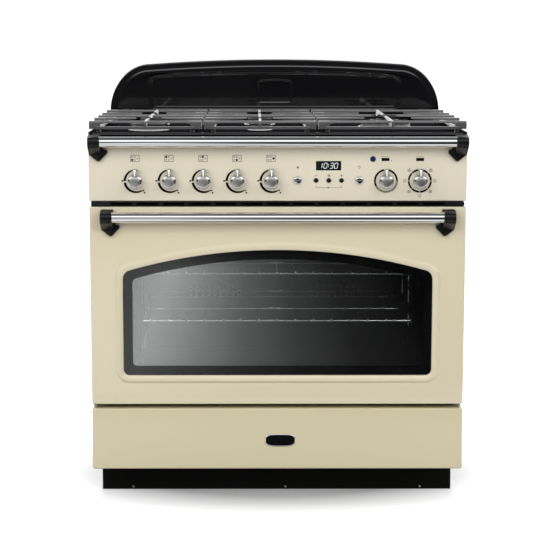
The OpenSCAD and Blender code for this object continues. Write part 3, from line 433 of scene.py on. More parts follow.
# A paler, less metallic copy of the alloy for the burner cups: partly the alloy's own pale grey, partly
# painted glint.
GLINT_CUP_ALLOY = replace(ALLOY, name="cup_alloy_painted_glint", color=(0.82, 0.82, 0.82), shade=(0.74, 0.74, 0.74), metallic=0.4)
BRASS = Finish("tap_brass", (0.72, 0.52, 0.24), (0.6, 0.42, 0.18), 0.3, 0.08, metallic=1.0, grain=200,
               bump=0.05)
CLEAR_GLASS = Finish("clear_glass", (1.0, 1.0, 1.0), (0.98, 1.0, 0.99), 0.0, transmission=1.0, ior=1.45,
                     bump=0)
COATED_GLASS = Finish("coated_glass", (0.92, 0.95, 0.94), (0.91, 0.94, 0.93), 0.02, transmission=1.0, ior=2.6,
                      bump=0)
PRINT_BLACK = Finish("print_black", (0.004, 0.004, 0.005), (0.006, 0.006, 0.007), 0.4, grain=500, bump=0.01,
                     specular=0.0)
BLACK_PLASTIC = Finish("black_plastic", (0.009, 0.009, 0.01), (0.006, 0.006, 0.007), 0.22, 0.06, grain=500,
                       bump=0.03)
NYLON = Finish("roller_nylon", (0.03, 0.03, 0.032), (0.022, 0.022, 0.024), 0.5, 0.1, grain=700, bump=0.1)
RUBBER = Finish("door_seal", (0.02, 0.02, 0.02), (0.03, 0.03, 0.03), 0.7, 0.1, grain=1500, bump=0.4)
NEON = Finish("neon_blue", (0.012, 0.016, 0.11), (0.01, 0.012, 0.08), 0.12, 0.03, coat=0.8, grain=300,
              bump=0.01)
LAMP_GLASS = Finish("lamp_glass", (0.9, 0.88, 0.8), (0.85, 0.82, 0.75), 0.15, coat=0.5, grain=150, bump=0.2)
SHEATH = Finish("element_sheath", (0.16, 0.15, 0.15), (0.1, 0.095, 0.095), 0.45, 0.1, metallic=0.6,
                grain=300, bump=0.08)
DIGITS = Finish("display_digits", (0.8, 0.88, 0.9), (0.75, 0.83, 0.86), 0.4, glow=0.85, bump=0)


class Finishes:
    """Hands out each finish's material, made the first time it is asked for."""

    def __init__(self) -> None:
        """Builds the shared groups."""
        self._effects = FinishEffects()
        self._made: dict[str, bpy.types.Material] = {}

    def get(self, finish: Finish) -> bpy.types.Material:
        """Returns the finish's material.

        Args:
            finish: The finish.

        Returns:
            Its material.
        """
        if finish.name not in self._made:
            self._made[finish.name] = finish.material(self._effects)
        return self._made[finish.name]


def arc(cx: float, cz: float, rx: float, rz: float, a0: float, a1: float, steps: int) -> list[Pair]:
    """Returns points along an elliptical arc, both ends included.

    Args:
        cx: The centre's first coordinate.
        cz: The centre's second coordinate.
        rx: The first radius.
        rz: The second radius.
        a0: The first angle in radians.
        a1: The last angle in radians.
        steps: The number of steps.

    Returns:
        The points.
    """
    angles = [a0 + (a1 - a0) * i / steps for i in range(steps + 1)]
    return [(cx + rx * math.cos(a), cz + rz * math.sin(a)) for a in angles]


@dataclass(frozen=True)
class Outline:
    """An outline seen from the front: round lower corners and an arched or flat top. Millimetres."""

    half_w: float
    low: float
    top: float
    arch_r: float = 1.0e6
    low_r: float = 4.0
    high_r: float = 4.0
    least_r: float = 0.4
    corner_steps: int = 8
    arch_steps: int = 40

    def grown(self, margin: float) -> "Outline":
        """Returns the same outline, moved out by a margin."""
        return replace(self, half_w=self.half_w + margin, low=self.low - margin, top=self.top + margin,
                       arch_r=self.arch_r + margin, low_r=max(self.low_r + margin, self.least_r),
                       high_r=max(self.high_r + margin, self.least_r))

    def points(self) -> list[Pair]:
        """Returns the outline's points, counterclockwise from the right side's top.

        Returns:
            The points, as many on every outline.
        """
        centre_z = self.top - self.arch_r
        inner = self.half_w - self.high_r
        corner_z = centre_z + math.sqrt((self.arch_r - self.high_r) ** 2 - inner ** 2)
        turn = math.atan2(corner_z - centre_z, inner)
        low_x, low_z = self.half_w - self.low_r, self.low + self.low_r
        low_r, high_r, steps = self.low_r, self.high_r, self.corner_steps
        points = arc(inner, corner_z, high_r, high_r, 0, turn, steps)
        points += arc(0, centre_z, self.arch_r, self.arch_r, turn, math.pi - turn, self.arch_steps)[1:-1]
        points += arc(-inner, corner_z, high_r, high_r, math.pi - turn, math.pi, steps)
        points += arc(-low_x, low_z, low_r, low_r, math.pi, 1.5 * math.pi, steps)
        points += arc(low_x, low_z, low_r, low_r, 1.5 * math.pi, 2 * math.pi, steps)
        return points

    def ring(self, depth: float) -> Ring:
        """Returns the outline's points at a depth behind the door face."""
        return [(x, depth, z) for x, z in self.points()]

    def rolled_edge(self, r: float, land: float = 1.5, steps: int = 6) -> list[Ring]:
        """Rolls the outline's edge over onto the front face.

        Args:
            r: The edge's radius.
            land: How far the last ring lies inside the roll.
            steps: The number of steps round it.

        Returns:
            The rings from the side to the face.
        """
        rings = []
        for i in range(steps + 1):
            turn = math.pi / 2 * i / steps
            rings.append(self.grown(-r * (1 - math.cos(turn))).ring(r - r * math.sin(turn)))
        rings.append(self.grown(-r - land).ring(0))
        return rings


def new_object(name: str, mesh: Mesh) -> bpy.types.Object:
    """Puts a mesh in the scene.

    Args:
        name: The object's name, and its data's.
        mesh: The mesh in metres, which is freed.

    Returns:
        The object.
    """
    data = bpy.data.meshes.new(name)
    mesh.to_mesh(data)
    mesh.free()
    made = bpy.data.objects.new(name, data)
    bpy.context.scene.collection.objects.link(made)
    return made


class Workshop:
    """Makes meshes into finished pieces that ride on the cooker's bodies."""

    def __init__(self, finishes: Finishes) -> None:
        """Keeps the finishes."""
        self.finishes = finishes

    def finish(self, name: str, mesh: Mesh, finish: Finish, body: str, slot: str, nodes: tuple[str, ...] = (),
               bevel: float = 0.0, smooth_angle: float = 35.0) -> bpy.types.Object:
        """Turns a mesh into a piece of the cooker.

        Args:
            name: The piece's name.
            mesh: Its mesh in metres, which is freed.
            finish: Its finish.
            body: The body that it rides on.
            slot: The record's material slot, which is not used.
            nodes: The nodes that it stands for.
            bevel: The width of its rounded edges in millimetres.
            smooth_angle: Edges sharper than this many degrees stay sharp.

        Returns:
            The piece.
        """
        limit = math.radians(smooth_angle)
        for face in mesh.faces:
            face.smooth = True
        for edge in mesh.edges:
            edge.smooth = len(edge.link_faces) == 2 and edge.calc_face_angle(0) < limit
        piece = new_object(name, mesh)
        piece.data.materials.append(self.finishes.get(finish))
        if bevel:
            self._round_edges(piece, bevel)
        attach(piece, body)
        if nodes:
            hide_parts(*nodes)
        LOG.info("%s rides on %s", name, body)
        return piece

    @staticmethod
    def _round_edges(piece: bpy.types.Object, width: float, sharp_angle: float = 40.0) -> None:
        """Rounds a piece's sharp edges.

        Args:
            piece: The piece.
            width: The width of the rounding in millimetres.
            sharp_angle: Edges that bend by more than this many degrees are rounded.
        """
        rounding = piece.modifiers.new("edges", "BEVEL")
        rounding.width = width * MM
        rounding.segments = 2
        rounding.limit_method = "ANGLE"
        rounding.angle_limit = math.radians(sharp_angle)
        rounding.harden_normals = True

    def refine(self, node: str, finish: Finish, bevel: float = 0.4,
               smooth_angle: float = 35.0) -> bpy.types.Object:
        """Makes a piece from a node's own shape, with merged faces and rounded edges.

        Args:
            node: The node.
            finish: Its finish.
            bevel: The width of its rounded edges in millimetres.
            smooth_angle: Edges sharper than this many degrees stay sharp.

        Returns:
            The piece.
        """
        record = frame["record"]
        slot = next(s["material_slot"] for s in record["subparts"] if s["node"] == node)
        body = next(b for b, nodes in record["behaviour"]["bodies"].items() if node in nodes)
        mesh = bmesh.new()
        mesh.from_mesh(frame["nodes"][node].data)
        bmesh.ops.remove_doubles(mesh, verts=mesh.verts, dist=0.02 * MM)
        bmesh.ops.dissolve_limit(mesh, angle_limit=math.radians(1.0), verts=mesh.verts, edges=mesh.edges)
        return self.finish("dressed_" + node, mesh, finish, body, slot, (node,), bevel, smooth_angle)


def loft(rings: list[Ring], cap_first: bool = False, cap_last: bool = False) -> Mesh:
    """Joins rings of equally many points with faces.

    Args:
        rings: The rings, in millimetres with depth behind the door face.
        cap_first: Whether the first ring is closed by a face.
        cap_last: Whether the last ring is closed by a face.

    Returns:
        The mesh in metres.
    """
    mesh = bmesh.new()
    rows = [[mesh.verts.new(place(*p)) for p in ring] for ring in rings]
    count = len(rows[0])
    for one, two in zip(rows, rows[1:]):
        for i in range(count):
            j = (i + 1) % count
            mesh.faces.new((one[i], one[j], two[j], two[i]))
    if cap_first:
        mesh.faces.new(rows[0])
    if cap_last:
        mesh.faces.new(rows[-1])
    bmesh.ops.remove_doubles(mesh, verts=mesh.verts, dist=1e-7)
    bmesh.ops.recalc_face_normals(mesh, faces=mesh.faces)
    return mesh


def lathe(x: float, z: float, profile: tuple[Pair, ...], steps: int = 64, least_r: float = 0.01) -> Mesh:
    """Turns a profile about a line along Y.

    Args:
        x: The line's place across the cooker.
        z: The line's height.
        profile: Radius and depth behind the door face, from the front to the back or the other way.
        steps: The number of sides.
        least_r: The radius that stands for none.

    Returns:
        The closed mesh.
    """
    rings = []
    for radius, depth in profile:
        r = max(radius, least_r)
        rings.append([(px, depth, pz) for px, pz in arc(x, z, r, r, 0, math.tau, steps)[:-1]])
    return loft(rings, True, True)


def merge(meshes: list[Mesh]) -> Mesh:
    """Puts several meshes into one.

    Args:
        meshes: The meshes, which are freed.

    Returns:
        The mesh that holds them all.
    """
    whole = bmesh.new()
    for mesh in meshes:
        data = bpy.data.meshes.new("part")
        mesh.to_mesh(data)
        mesh.free()
        whole.from_mesh(data)
        bpy.data.meshes.remove(data)
    return whole


def slab(outline: list[Pair], front: float, back: float) -> Mesh:
    """Gives an outline a thickness along Y.

    Args:
        outline: Its points across and up.
        front: The depth of its front face.
        back: The depth of its back face.

    Returns:
        The closed mesh.
    """
    return loft([[(x, back, z) for x, z in outline], [(x, front, z) for x, z in outline]], True, True)


class PrintedMark:
    """Thin printed shapes on the control panel's face."""

    lift: float = -0.12
    back: float = 0.02
    step_angle: float = 5
    dot_steps: int = 16

    @classmethod
    def ring(cls, x: float, z: float, inner: float, outer: float, a0: float = 0, a1: float = 355) -> Mesh:
        """Makes a stretch of a ring.

        Args:
            x: The centre across.
            z: The centre's height.
            inner: The inner radius.
            outer: The outer radius.
            a0: The first angle in degrees, counterclockwise from the right.
            a1: The last angle in degrees.

        Returns:
            The mark's mesh.
        """
        r0, r1 = math.radians(a0), math.radians(a1)
        steps = max(2, int(abs(a1 - a0) / cls.step_angle))
        outline = arc(x, z, outer, outer, r0, r1, steps) + arc(x, z, inner, inner, r1, r0, steps)
        mesh = bmesh.new()
        front = [mesh.verts.new(place(px, cls.lift, pz)) for px, pz in outline]
        back = [mesh.verts.new(place(px, cls.back, pz)) for px, pz in outline]
        for i in range(len(outline) // 2 - 1):
            j = len(outline) - 1 - i
            mesh.faces.new((front[i], front[i + 1], front[j - 1], front[j]))
            mesh.faces.new((back[j], back[j - 1], back[i + 1], back[i]))
        for i in range(len(outline)):
            j = (i + 1) % len(outline)
            mesh.faces.new((back[i], back[j], front[j], front[i]))
        bmesh.ops.recalc_face_normals(mesh, faces=mesh.faces)
        return mesh

    @classmethod
    def dot(cls, x: float, z: float, r: float) -> Mesh:
        """Makes a round dot."""
        return slab(arc(x, z, r, r, 0, 2 * math.pi, cls.dot_steps)[:-1], cls.lift, cls.back)

    @classmethod
    def bar(cls, x0: float, z0: float, x1: float, z1: float, width: float) -> Mesh:
        """Makes a straight line between two points.

        Args:
            x0: The first point across.
            z0: The first point's height.
            x1: The second point across.
            z1: The second point's height.
            width: The line's width.

        Returns:
            The mark's mesh.
        """
        along = Vector((x1 - x0, z1 - z0)).normalized()
        side = Vector((-along.y, along.x)) * width / 2
        corners = [(x0 - side.x, z0 - side.y), (x1 - side.x, z1 - side.y),
                   (x1 + side.x, z1 + side.y), (x0 + side.x, z0 + side.y)]
        return slab(corners, cls.lift, cls.back)

    @classmethod
    def frame(cls, x: float, z: float, half_w: float, half_h: float, width: float) -> list[Mesh]:
        """Makes the four lines of a rectangle.

        Args:
            x: The middle across.
            z: The middle's height.
            half_w: Half its width.
            half_h: Half its height.
            width: The lines' width.

        Returns:
            The lines' meshes.
        """
        corners = [(x + u * half_w, z + v * half_h) for u, v in ((-1, -1), (1, -1), (1, 1), (-1, 1))]
        return [cls.bar(*corners[i], *corners[(i + 1) % 4], width) for i in range(4)]


@dataclass
class Door:
    """The oven door: pressed skin with a raised surround, glass with a printed border, and the inner pan."""

    shop: Workshop
    window: Outline = Outline(half_w=371, low=DOOR_LOW + 74, top=DOOR_LOW + 379, arch_r=1300,
                              low_r=14.5, high_r=22)
    border: float = 22.5
    edge_r: float = 3.5
    fold: float = 22.0
    sheet: float = 1.5
    lower_gap: float = 2.2
    pane_margin: float = 12.0
    # The window's rim, over the raised bead and down to the glass: margin round the window, and depth.
    rim: tuple[Pair, ...] = ((25, 0.0), (20.4, 0.0), (19.4, -0.15), (18.4, -0.7), (15.6, -3.1), (14.4, -3.9),
                             (13.0, -4.35), (11.4, -4.5), (9.6, -4.4), (3.2, -2.4), (1.8, -1.7), (0.8, -0.6),
                             (0.2, 0.6), (0.0, 1.5))

    def build(self) -> None:
        """Builds every piece of the door."""
        self.skin()
        self.glass()
        self.shop.refine("door_inner_frame", BLACK_ENAMEL, 0.6)
        self.shop.refine("door_inner_glass", CLEAR_GLASS)
        self.shop.refine("door_handle", CHROME, 0.3, 50)

    def skin(self) -> None:
        """Builds the pressed skin, from its folded rear edge round to the window's rolled edge."""
        outer = Outline(HALF_W - 1, DOOR_LOW + self.lower_gap, DOOR_TOP,
                        low_r=self.edge_r, high_r=self.edge_r)
        inside = outer.grown(-self.sheet)
        rings = [inside.ring(self.fold), outer.ring(self.fold)] + outer.rolled_edge(self.edge_r)
        rings += [self.window.grown(margin).ring(depth) for margin, depth in self.rim]
        rings += [self.window.grown(1.0).ring(self.sheet), inside.ring(self.sheet), rings[0]]
        self.shop.finish("door_skin", loft(rings), CREAM, "door", "cream_enamel", ("door_panel",),
                         smooth_angle=40)

    def glass(self) -> None:
        """Builds the outer pane, with the black border and the mirror coating on its back."""
        pane = self.window.grown(self.pane_margin)
        sheet = loft([pane.ring(depth) for depth in (5.5, 1.6)], True, True)
        self.shop.finish("door_pane", sheet, CLEAR_GLASS, "door", "outer_glass", ("door_outer_glass",), 0.3)
        inner = replace(self.window.grown(-self.border), low_r=9, high_r=14)
        near, far = 5.6, 5.8
        rings = [pane.ring(near), inner.ring(near), inner.ring(far), pane.ring(far), pane.ring(near)]
        self.shop.finish("door_pane_border", loft(rings), PRINT_BLACK, "door", "black_plastic")
        coated = inner.grown(3.0)
        film = loft([coated.ring(depth) for depth in (6.4, 6.0)], True, True)
        self.shop.finish("door_pane_coating", film, COATED_GLASS, "door", "outer_glass")


@dataclass
class Drawer:
    """The storage drawer's front with its bare badge plate, and the tray."""

    shop: Workshop
    edge_r: float = 3.5
    fold: float = 45.0
    sheet: float = 1.5
    upper_gap: float = 2.2
    badge_x: float = 7.0
    badge_z: float = 157.5
    badge_w: float = 75.0
    badge_h: float = 31.0

    def build(self) -> None:
        """Builds the front, the plate and the tray."""
        low, high = (v.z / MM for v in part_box("drawer_front"))
        outer = Outline(HALF_W - 1, low, high - self.upper_gap, low_r=5, high_r=5)
        inside = outer.grown(-self.sheet)
        rings = [inside.ring(self.fold), outer.ring(self.fold)] + outer.rolled_edge(self.edge_r)
        lining = [inside.ring(self.fold), inside.ring(self.sheet)]
        shell = merge([loft(rings, False, True), loft(lining, False, True)])
        self.shop.finish("drawer_skin", shell, SHADED_DRAWER_CREAM, "drawer", "cream_enamel", ("drawer_front",),
                         smooth_angle=40)
        self.badge()
        self.shop.refine("drawer_tray", STEEL, 0.5)

    def badge(self) -> None:
        """Builds the bare barrel-shaped plate with its bright rim."""
        rim = ((0, 0.2), (0, -1.6), (0.8, -2.4), (2.0, -2.4), (2.6, -1.6))
        field = ((2.4, -1.5), (2.7, -1.9), (3.4, -2.1))
        for name, steps, finish, slot in (("badge_rim", rim, CHROME, "bright_chrome"),
                                          ("badge_field", field, PRINT_BLACK, "black_enamel")):
            mesh = loft([self.barrel(margin, depth) for margin, depth in steps], True, True)
            self.shop.finish(name, mesh, finish, "drawer", slot, smooth_angle=50)

    def barrel(self, margin: float, depth: float, steps: int = 64) -> Ring:
        """Returns the plate's outline at a depth: bowed ends, and longer sides that bow less.

        Args:
            margin: How far the outline is drawn in.
            depth: The depth behind the door face.
            steps: The number of points.

        Returns:
            The outline's points.
        """
        w, h = self.badge_w / 2 - margin, self.badge_h / 2 - margin
        ring = []
        for i in range(steps):
            across, up = math.cos(math.tau * i / steps), math.sin(math.tau * i / steps)
            ring.append((self.badge_x + math.copysign(w * abs(across) ** 0.5, across), depth,
                         self.badge_z + math.copysign(h * abs(up) ** 0.75, up)))
        return ring


@dataclass
class Bracket:
    """A cast bracket that holds a rail: a five-sided foot, and an arm that reaches out to the rail."""

    outer: float
    rail_z: float
    width: float = 28.0
    reach: float = 32.5
    head_r: float = 16.5
    corner_r: float = 6.0

    def foot(self, margin: float, depth: float) -> Ring:
        """Returns the foot's outline at a depth.

        Args:
            margin: How far the outline is drawn in towards its middle.
            depth: The depth behind the door face.

        Returns:
            The outline's points.
        """
        o, z, r = self.outer, self.rail_z, self.corner_r
        top, waist, low = z + 16, z - 8, z - 33
        inner_x, inner_z = o - 37.5, z - 26
        lower_x, lower_z = o - 22, z - 42
        middle_x, middle_z = o - 18, z - 15
        points = [(o, top), (o - self.width, top), (o - self.width - 1, waist)]
        points += arc(inner_x, inner_z, r, r, math.radians(70), math.radians(225), 6)
        points += arc(lower_x, lower_z, r, r, math.radians(225), math.radians(300), 5)
        points += [(o - 1, low)]
        shrunk = []
        for px, pz in points:
            away = Vector((px - middle_x, pz - middle_z))
            away *= max(away.length - margin, 1) / away.length
            shrunk.append((middle_x + away.x, depth, middle_z + away.y))
        return shrunk

    def mesh(self) -> Mesh:
        """Makes the casting: the foot, and the arm as sections from its outer side inwards.

        Returns:
            The casting's mesh.
        """
        o, z, w = self.outer, self.rail_z, self.width
        foot = loft([self.foot(0, 0), self.foot(0, -9), self.foot(1.2, -11), self.foot(3.5, -12)], True, True)
        sections = []
        for inward, cut in ((0.0, 0.0), (3.0, 0.0), (w - 6, 0.5), (w, 3.0)):
            r = self.head_r - cut
            profile = [(0.0, z + r), (0.0, z - 30), (-9.0, z - 34 + cut)]
            profile += arc(-self.reach, z, r, r, math.radians(250), math.radians(138), 8)
            profile += [(-self.reach + 4, z + r)]
            sections.append([(o - inward, depth, height) for depth, height in profile])
        return merge([foot, loft(sections, True, True)])


@dataclass
class Rails:
    """The towel rail with its brackets, and the door handle's brackets."""

    shop: Workshop

    def build(self) -> None:
        """Builds the rail and both pairs of brackets."""
        self.shop.refine("towel_rail", CHROME, 0.3, 50)
        self.brackets("towel_rail_brackets", "towel_rail", "chassis")
        self.brackets("door_handle_brackets", "door_handle", "door")

    def brackets(self, node: str, rail: str, body: str) -> None:
        """Builds a pair of brackets, the left one mirrored from the right one.

        Args:
            node: The brackets' node.
            rail: The node of the rail that they hold.
            body: The body that they ride on.
        """
        low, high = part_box(rail)
        right = Bracket(outer=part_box(node)[1].x / MM, rail_z=(low.z + high.z) / 2 / MM).mesh()
        left = right.copy()
        bmesh.ops.transform(left, matrix=Matrix.Scale(-1, 4, (1, 0, 0)), verts=left.verts)
        bmesh.ops.reverse_faces(left, faces=left.faces)
        pair = merge([right, left])
        self.shop.finish("cast_" + node, pair, BLACK_CASTING, body, "black_casting", (node,), 1.6)


@dataclass
class Knob:
    """A turned chrome knob with a flared pointer."""

    node: str
    radius: float = 17.5
    # The grip in front of the skirt, and the cap: radius and depth.
    grip: tuple[Pair, ...] = ((17.5, -21), (17.1, -23), (16.0, -24.8), (14.4, -25.8), (13.2, -26.4),
                              (12.9, -28.5), (13.3, -29.3), (13.0, -30.8), (12.2, -31.2), (11.9, -31.0),
                              (11.8, -29.0))
    cap: tuple[Pair, ...] = ((11.9, -30.5), (11.6, -33.6), (10.8, -34.9), (9.2, -35.4), (6.0, -35.7),
                             (0.0, -35.9))
    # The pointer's right side: half its width, and the height over the knob's middle.
    pointer: tuple[Pair, ...] = ((2.6, 9.5), (2.7, 19.5), (3.3, 23.5), (5.4, 27.2), (5.9, 28.6), (5.2, 29.8),
                                 (2.6, 30.1))
    pointer_back: float = -6.5
    pointer_front: float = -25.6
    crest_front: float = -27.4
    crest_share: float = 0.5
    crest_top: float = 28.4
    lean: float = 0.22

    def meshes(self) -> tuple[Mesh, Mesh]:
        """Makes the two parts of the knob.

        Returns:
            The meshes of the polished body with its pointer, and of the satin cap.
        """
        low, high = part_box(self.node)
        x = (low.x + high.x) / 2 / MM
        z = low.z / MM + self.radius
        back = (high.y - FACE) / MM
        skirt = ((4.1, back), (13.5, back), (15.5, back - 1.2), (16.8, back - 3.5), (self.radius, back - 7))
        return merge([lathe(x, z, skirt + self.grip), self.pointer_mesh(x, z)]), lathe(x, z, self.cap)

    def pointer_mesh(self, x: float, z: float) -> Mesh:
        """Makes the pointer, whose front leans back towards its tip and has a narrower crest.

        Args:
            x: The knob's middle across.
            z: The knob's middle height.

        Returns:
            The pointer's mesh.
        """
        root = self.pointer[0][1]
        half = [(w, h) for w, h in self.pointer] + [(-w, h) for w, h in reversed(self.pointer)]
        outline = [(x + w, z + h) for w, h in half]
        crest = [(x + w * self.crest_share, z + min(h, self.crest_top)) for w, h in half]
        rings = [[(px, self.pointer_back, pz) for px, pz in outline]]
        for points, front in ((outline, self.pointer_front), (crest, self.crest_front)):
            rings.append([(px, front + self.lean * (pz - z - root), pz) for px, pz in points])
        return loft(rings, True, True)


# Each plain figure's strokes, in a box that is 1 wide and 2 high.
STROKES: dict[str, tuple[tuple[Pair, Pair], ...]] = {
    "0": (((0.1, 0), (0.9, 0)), ((0.1, 2), (0.9, 2)), ((0, 0.1), (0, 0.92)), ((0, 1.08), (0, 1.9)),
          ((1, 0.1), (1, 0.92)), ((1, 1.08), (1, 1.9))),
    "1": (((1, 0.1), (1, 0.92)), ((1, 1.08), (1, 1.9))),
    "3": (((0.1, 0), (0.9, 0)), ((0.1, 1), (0.9, 1)), ((0.1, 2), (0.9, 2)), ((1, 0.1), (1, 0.92)),
          ((1, 1.08), (1, 1.9))),
}


@dataclass
class Controls:
    """The control panel, its printed marks, knobs, buttons, lens and clock."""

    shop: Workshop
    knob_z: float = PANEL_LOW + 48.5
    first_x: float = -338.0
    pitch: float = 80.7
    hobs: int = 5
    oven_x: Pair = (257.0, 337.5)
    scale_in: float = 24.0
    scale_out: float = 28.5
    symbol_r: float = 36.0
    spark_x: float = 47.2
    lamp_x: float = 193.5
    timer_x: tuple[float, ...] = (91.0, 121.2, 151.5)
    display: tuple[float, float, float, float] = (90.4, 815.0, 150.4, 837.4)

    def build(self) -> None:
        """Builds every piece of the control panel."""
        self.shop.refine("control_panel", LIT_PANEL_CREAM, 0.6, 30)
        self.knobs()
        for i in range(1, self.hobs + 1):
            self.shop.refine(f"valve_spindle_{i}", BRASS, 0.3, 50)
        for node in ("ignition_button", "light_button"):
            self.shop.refine(node, CHROME, 0.2, 50)
        for node in ("timer_button_minus", "timer_button_mode", "timer_button_plus"):
            self.shop.refine(node, BLACK_PLASTIC, 0.2, 50)
        self.shop.refine("neon_lens", NEON, 0, 50)
        self.shop.refine("clock_module", BLACK_PLASTIC, 0.2)
        self.shop.refine("oven_controls", STEEL)
        self.shop.refine("gas_manifold", BRASS)
        self.marks()
        self.figures()

    def knobs(self) -> None:
        """Turns the seven knobs and their caps."""
        bodies = {f"hob_knob_{i}": f"knob_{i}" for i in range(1, self.hobs + 1)}
        bodies |= {"oven_temperature_knob": "temperature_knob", "oven_function_knob": "function_knob"}
        for node, body in bodies.items():
            polished, satin = Knob(node).meshes()
            self.shop.finish("turned_" + node, polished, DIMMED_KNOB_CHROME, body, "bright_chrome", (node,),
                             bevel=0.35, smooth_angle=32)
            self.shop.finish("cap_of_" + node, satin, SATIN_CHROME, body, "bright_chrome", smooth_angle=40)

    def marks(self) -> None:
        """Prints the scales, the layout marks and the small symbols."""
        marks: list[Mesh] = []
        for i in range(self.hobs):
            x = self.first_x + i * self.pitch
            marks += self.hob_scale(x, self.knob_z)
            marks += self.layout_mark(x - 1, self.knob_z + 53.5, i)
        marks += self.heat_scale() + self.function_scale() + self.oven_headings()
        marks += self.button_symbols() + self.timer_line()
        self.shop.finish("panel_print", merge(marks), PRINT_BLACK, "chassis", "black_plastic",
                         smooth_angle=20)

    def hob_scale(self, x: float, z: float) -> list[Mesh]:
        """Prints a hob knob's scale: a tapering arc with a gap at the full mark, and the low mark.

        Args:
            x: The knob's middle across.
            z: The knob's middle height.

        Returns:
            The marks' meshes.
        """
        first, sweep, steps, half_gap = 102, 205, 41, 5
        thin, swell = 1.8, 4.1
        marks = []
        for k in range(steps):
            a0, a1 = first + k * sweep / steps, first + (k + 1) * sweep / steps
            wide = thin + swell * math.sin(math.pi * (k + 0.5) / steps) ** 0.5
            if abs((a0 + a1) / 2 - 180) > half_gap:
                marks.append(PrintedMark.ring(x, z - 0.7, self.scale_out - wide, self.scale_out, a0, a1))
        marks.append(PrintedMark.bar(x - 30, z, x - 20.5, z, 1.1))
        marks += [PrintedMark.dot(x + dx, z + dz, r) for dx, dz, r in (
            (-31.4, 0, 2.3), (21.4, -28.4, 2.1), (18.6, -22.6, 1.8))]
        return marks

    def layout_mark(self, x: float, z: float, index: int) -> list[Mesh]:
        """Prints the little plan of the burners, with one filled in.

        Args:
            x: The plan's middle across.
            z: The plan's middle height.
            index: The burner that is filled in.

        Returns:
            The marks' meshes.
        """
        marks = PrintedMark.frame(x, z, 10.5, 7.5, 0.9)
        for k, (dx, dz) in enumerate(((-6.5, -3.5), (-6.5, 3.5), (-0.5, 3.5), (-0.5, -3.5), (6.0, 0.0))):
            if k == index:
                marks.append(PrintedMark.dot(x + dx, z + dz, 2.8))
            else:
                marks.append(PrintedMark.ring(x + dx, z + dz, 1.1, 1.9))
        return marks

    def scale_band(self, x: float, a0: float, a1: float) -> Mesh:
        """Prints a stretch of an oven knob's ring, between two angles in degrees."""
        return PrintedMark.ring(x, self.knob_z, self.scale_in, self.scale_out, a0, a1)

    def heat_scale(self) -> list[Mesh]:
        """Prints the temperature knob's ring, whose lower right is broken up.

        Returns:
            The marks' meshes.
        """
        x = self.oven_x[0]
        first, step, length, count = 212, 8.3, 5.6, 18
        marks = [self.scale_band(x, 100, 210), self.scale_band(x, 0, 80)]
        for k in range(count):
            start = first + k * step
            marks.append(self.scale_band(x, start, start + length))
        return marks

    def function_scale(self) -> list[Mesh]:
        """Prints the function knob's ring in eight stretches, with seven plain symbols round it.

        Returns:
            The marks' meshes.
        """
        x, z = self.oven_x[1], self.knob_z
        marks = []
        for k in range(8):
            start = 91.5 + k * 45
            marks.append(self.scale_band(x, start + (8 if k == 0 else 0), start + (34 if k == 7 else 42)))
        for k, angle in enumerate((45, 0, -45, -90, -135, 180, 135)):
            cx = x + self.symbol_r * math.cos(math.radians(angle))
            cz = z + self.symbol_r * math.sin(math.radians(angle))
            marks += PrintedMark.frame(cx, cz, 3.0, 3.0, 0.8)
            if k % 2:
                marks.append(PrintedMark.bar(cx - 1.8, cz, cx + 1.8, cz, 0.8))
            else:
                marks.append(PrintedMark.ring(cx, cz, 0.8, 1.6))
        return marks

    def oven_headings(self) -> list[Mesh]:
        """Prints a plain bar and a line over each oven knob, and a dot beside the first.

        Returns:
            The marks' meshes.
        """
        z, length = self.knob_z, 19
        marks = [PrintedMark.bar(x, z + dz, x + length, z + dz, width)
                 for x in (246, 328) for dz, width in ((51, 7.5), (58, 0.5))]
        return marks + [PrintedMark.dot(269.5, z + 48.5, 1.2)]

    def button_symbols(self) -> list[Mesh]:
        """Prints the lamp, spark, minus, plus and menu symbols over the buttons.

        Returns:
            The marks' meshes.
        """
        lamp, spark, (minus, menu, plus), z = self.lamp_x, self.spark_x, self.timer_x, self.knob_z
        marks = [PrintedMark.ring(lamp, z + 33, 2.0, 2.9, -50, 230),
                 PrintedMark.bar(lamp - 1.8, z + 29.2, lamp + 1.8, z + 29.2, 0.9)]
        for k in range(4):
            turn = math.radians(45 * k)
            dx, dz = 3.0 * math.cos(turn), 3.0 * math.sin(turn)
            marks.append(PrintedMark.bar(spark - dx, z + 32 - dz, spark + dx, z + 32 + dz, 0.9))
        middle, arm = z + 12.6, 2.6
        marks += [PrintedMark.bar(x - arm, middle, x + arm, middle, 1.3) for x in (minus, plus)]
        marks.append(PrintedMark.bar(plus, middle - arm, plus, middle + arm, 1.3))
        for height in (middle - 1.8, middle, middle + 1.8):
            marks.append(PrintedMark.bar(menu - 2.8, height, menu + 2.8, height, 1.0))
        return marks

    def timer_line(self) -> list[Mesh]:
        """Prints the line that joins the outer timer buttons, broken by a small key.

        Returns:
            The marks' meshes.
        """
        (first, _, last), low = self.timer_x, self.knob_z - 16.2
        marks = [PrintedMark.bar(x0, low, x1, low, 0.7) for x0, x1 in ((first, 117), (125.4, last))]
        marks += [PrintedMark.bar(x, low, x, low + 4.5, 0.7) for x in (first, last)]
        marks.append(PrintedMark.ring(119.6, low, 1.1, 2.0))
        marks.append(PrintedMark.bar(121.4, low, 124.6, low, 0.9))
        return marks

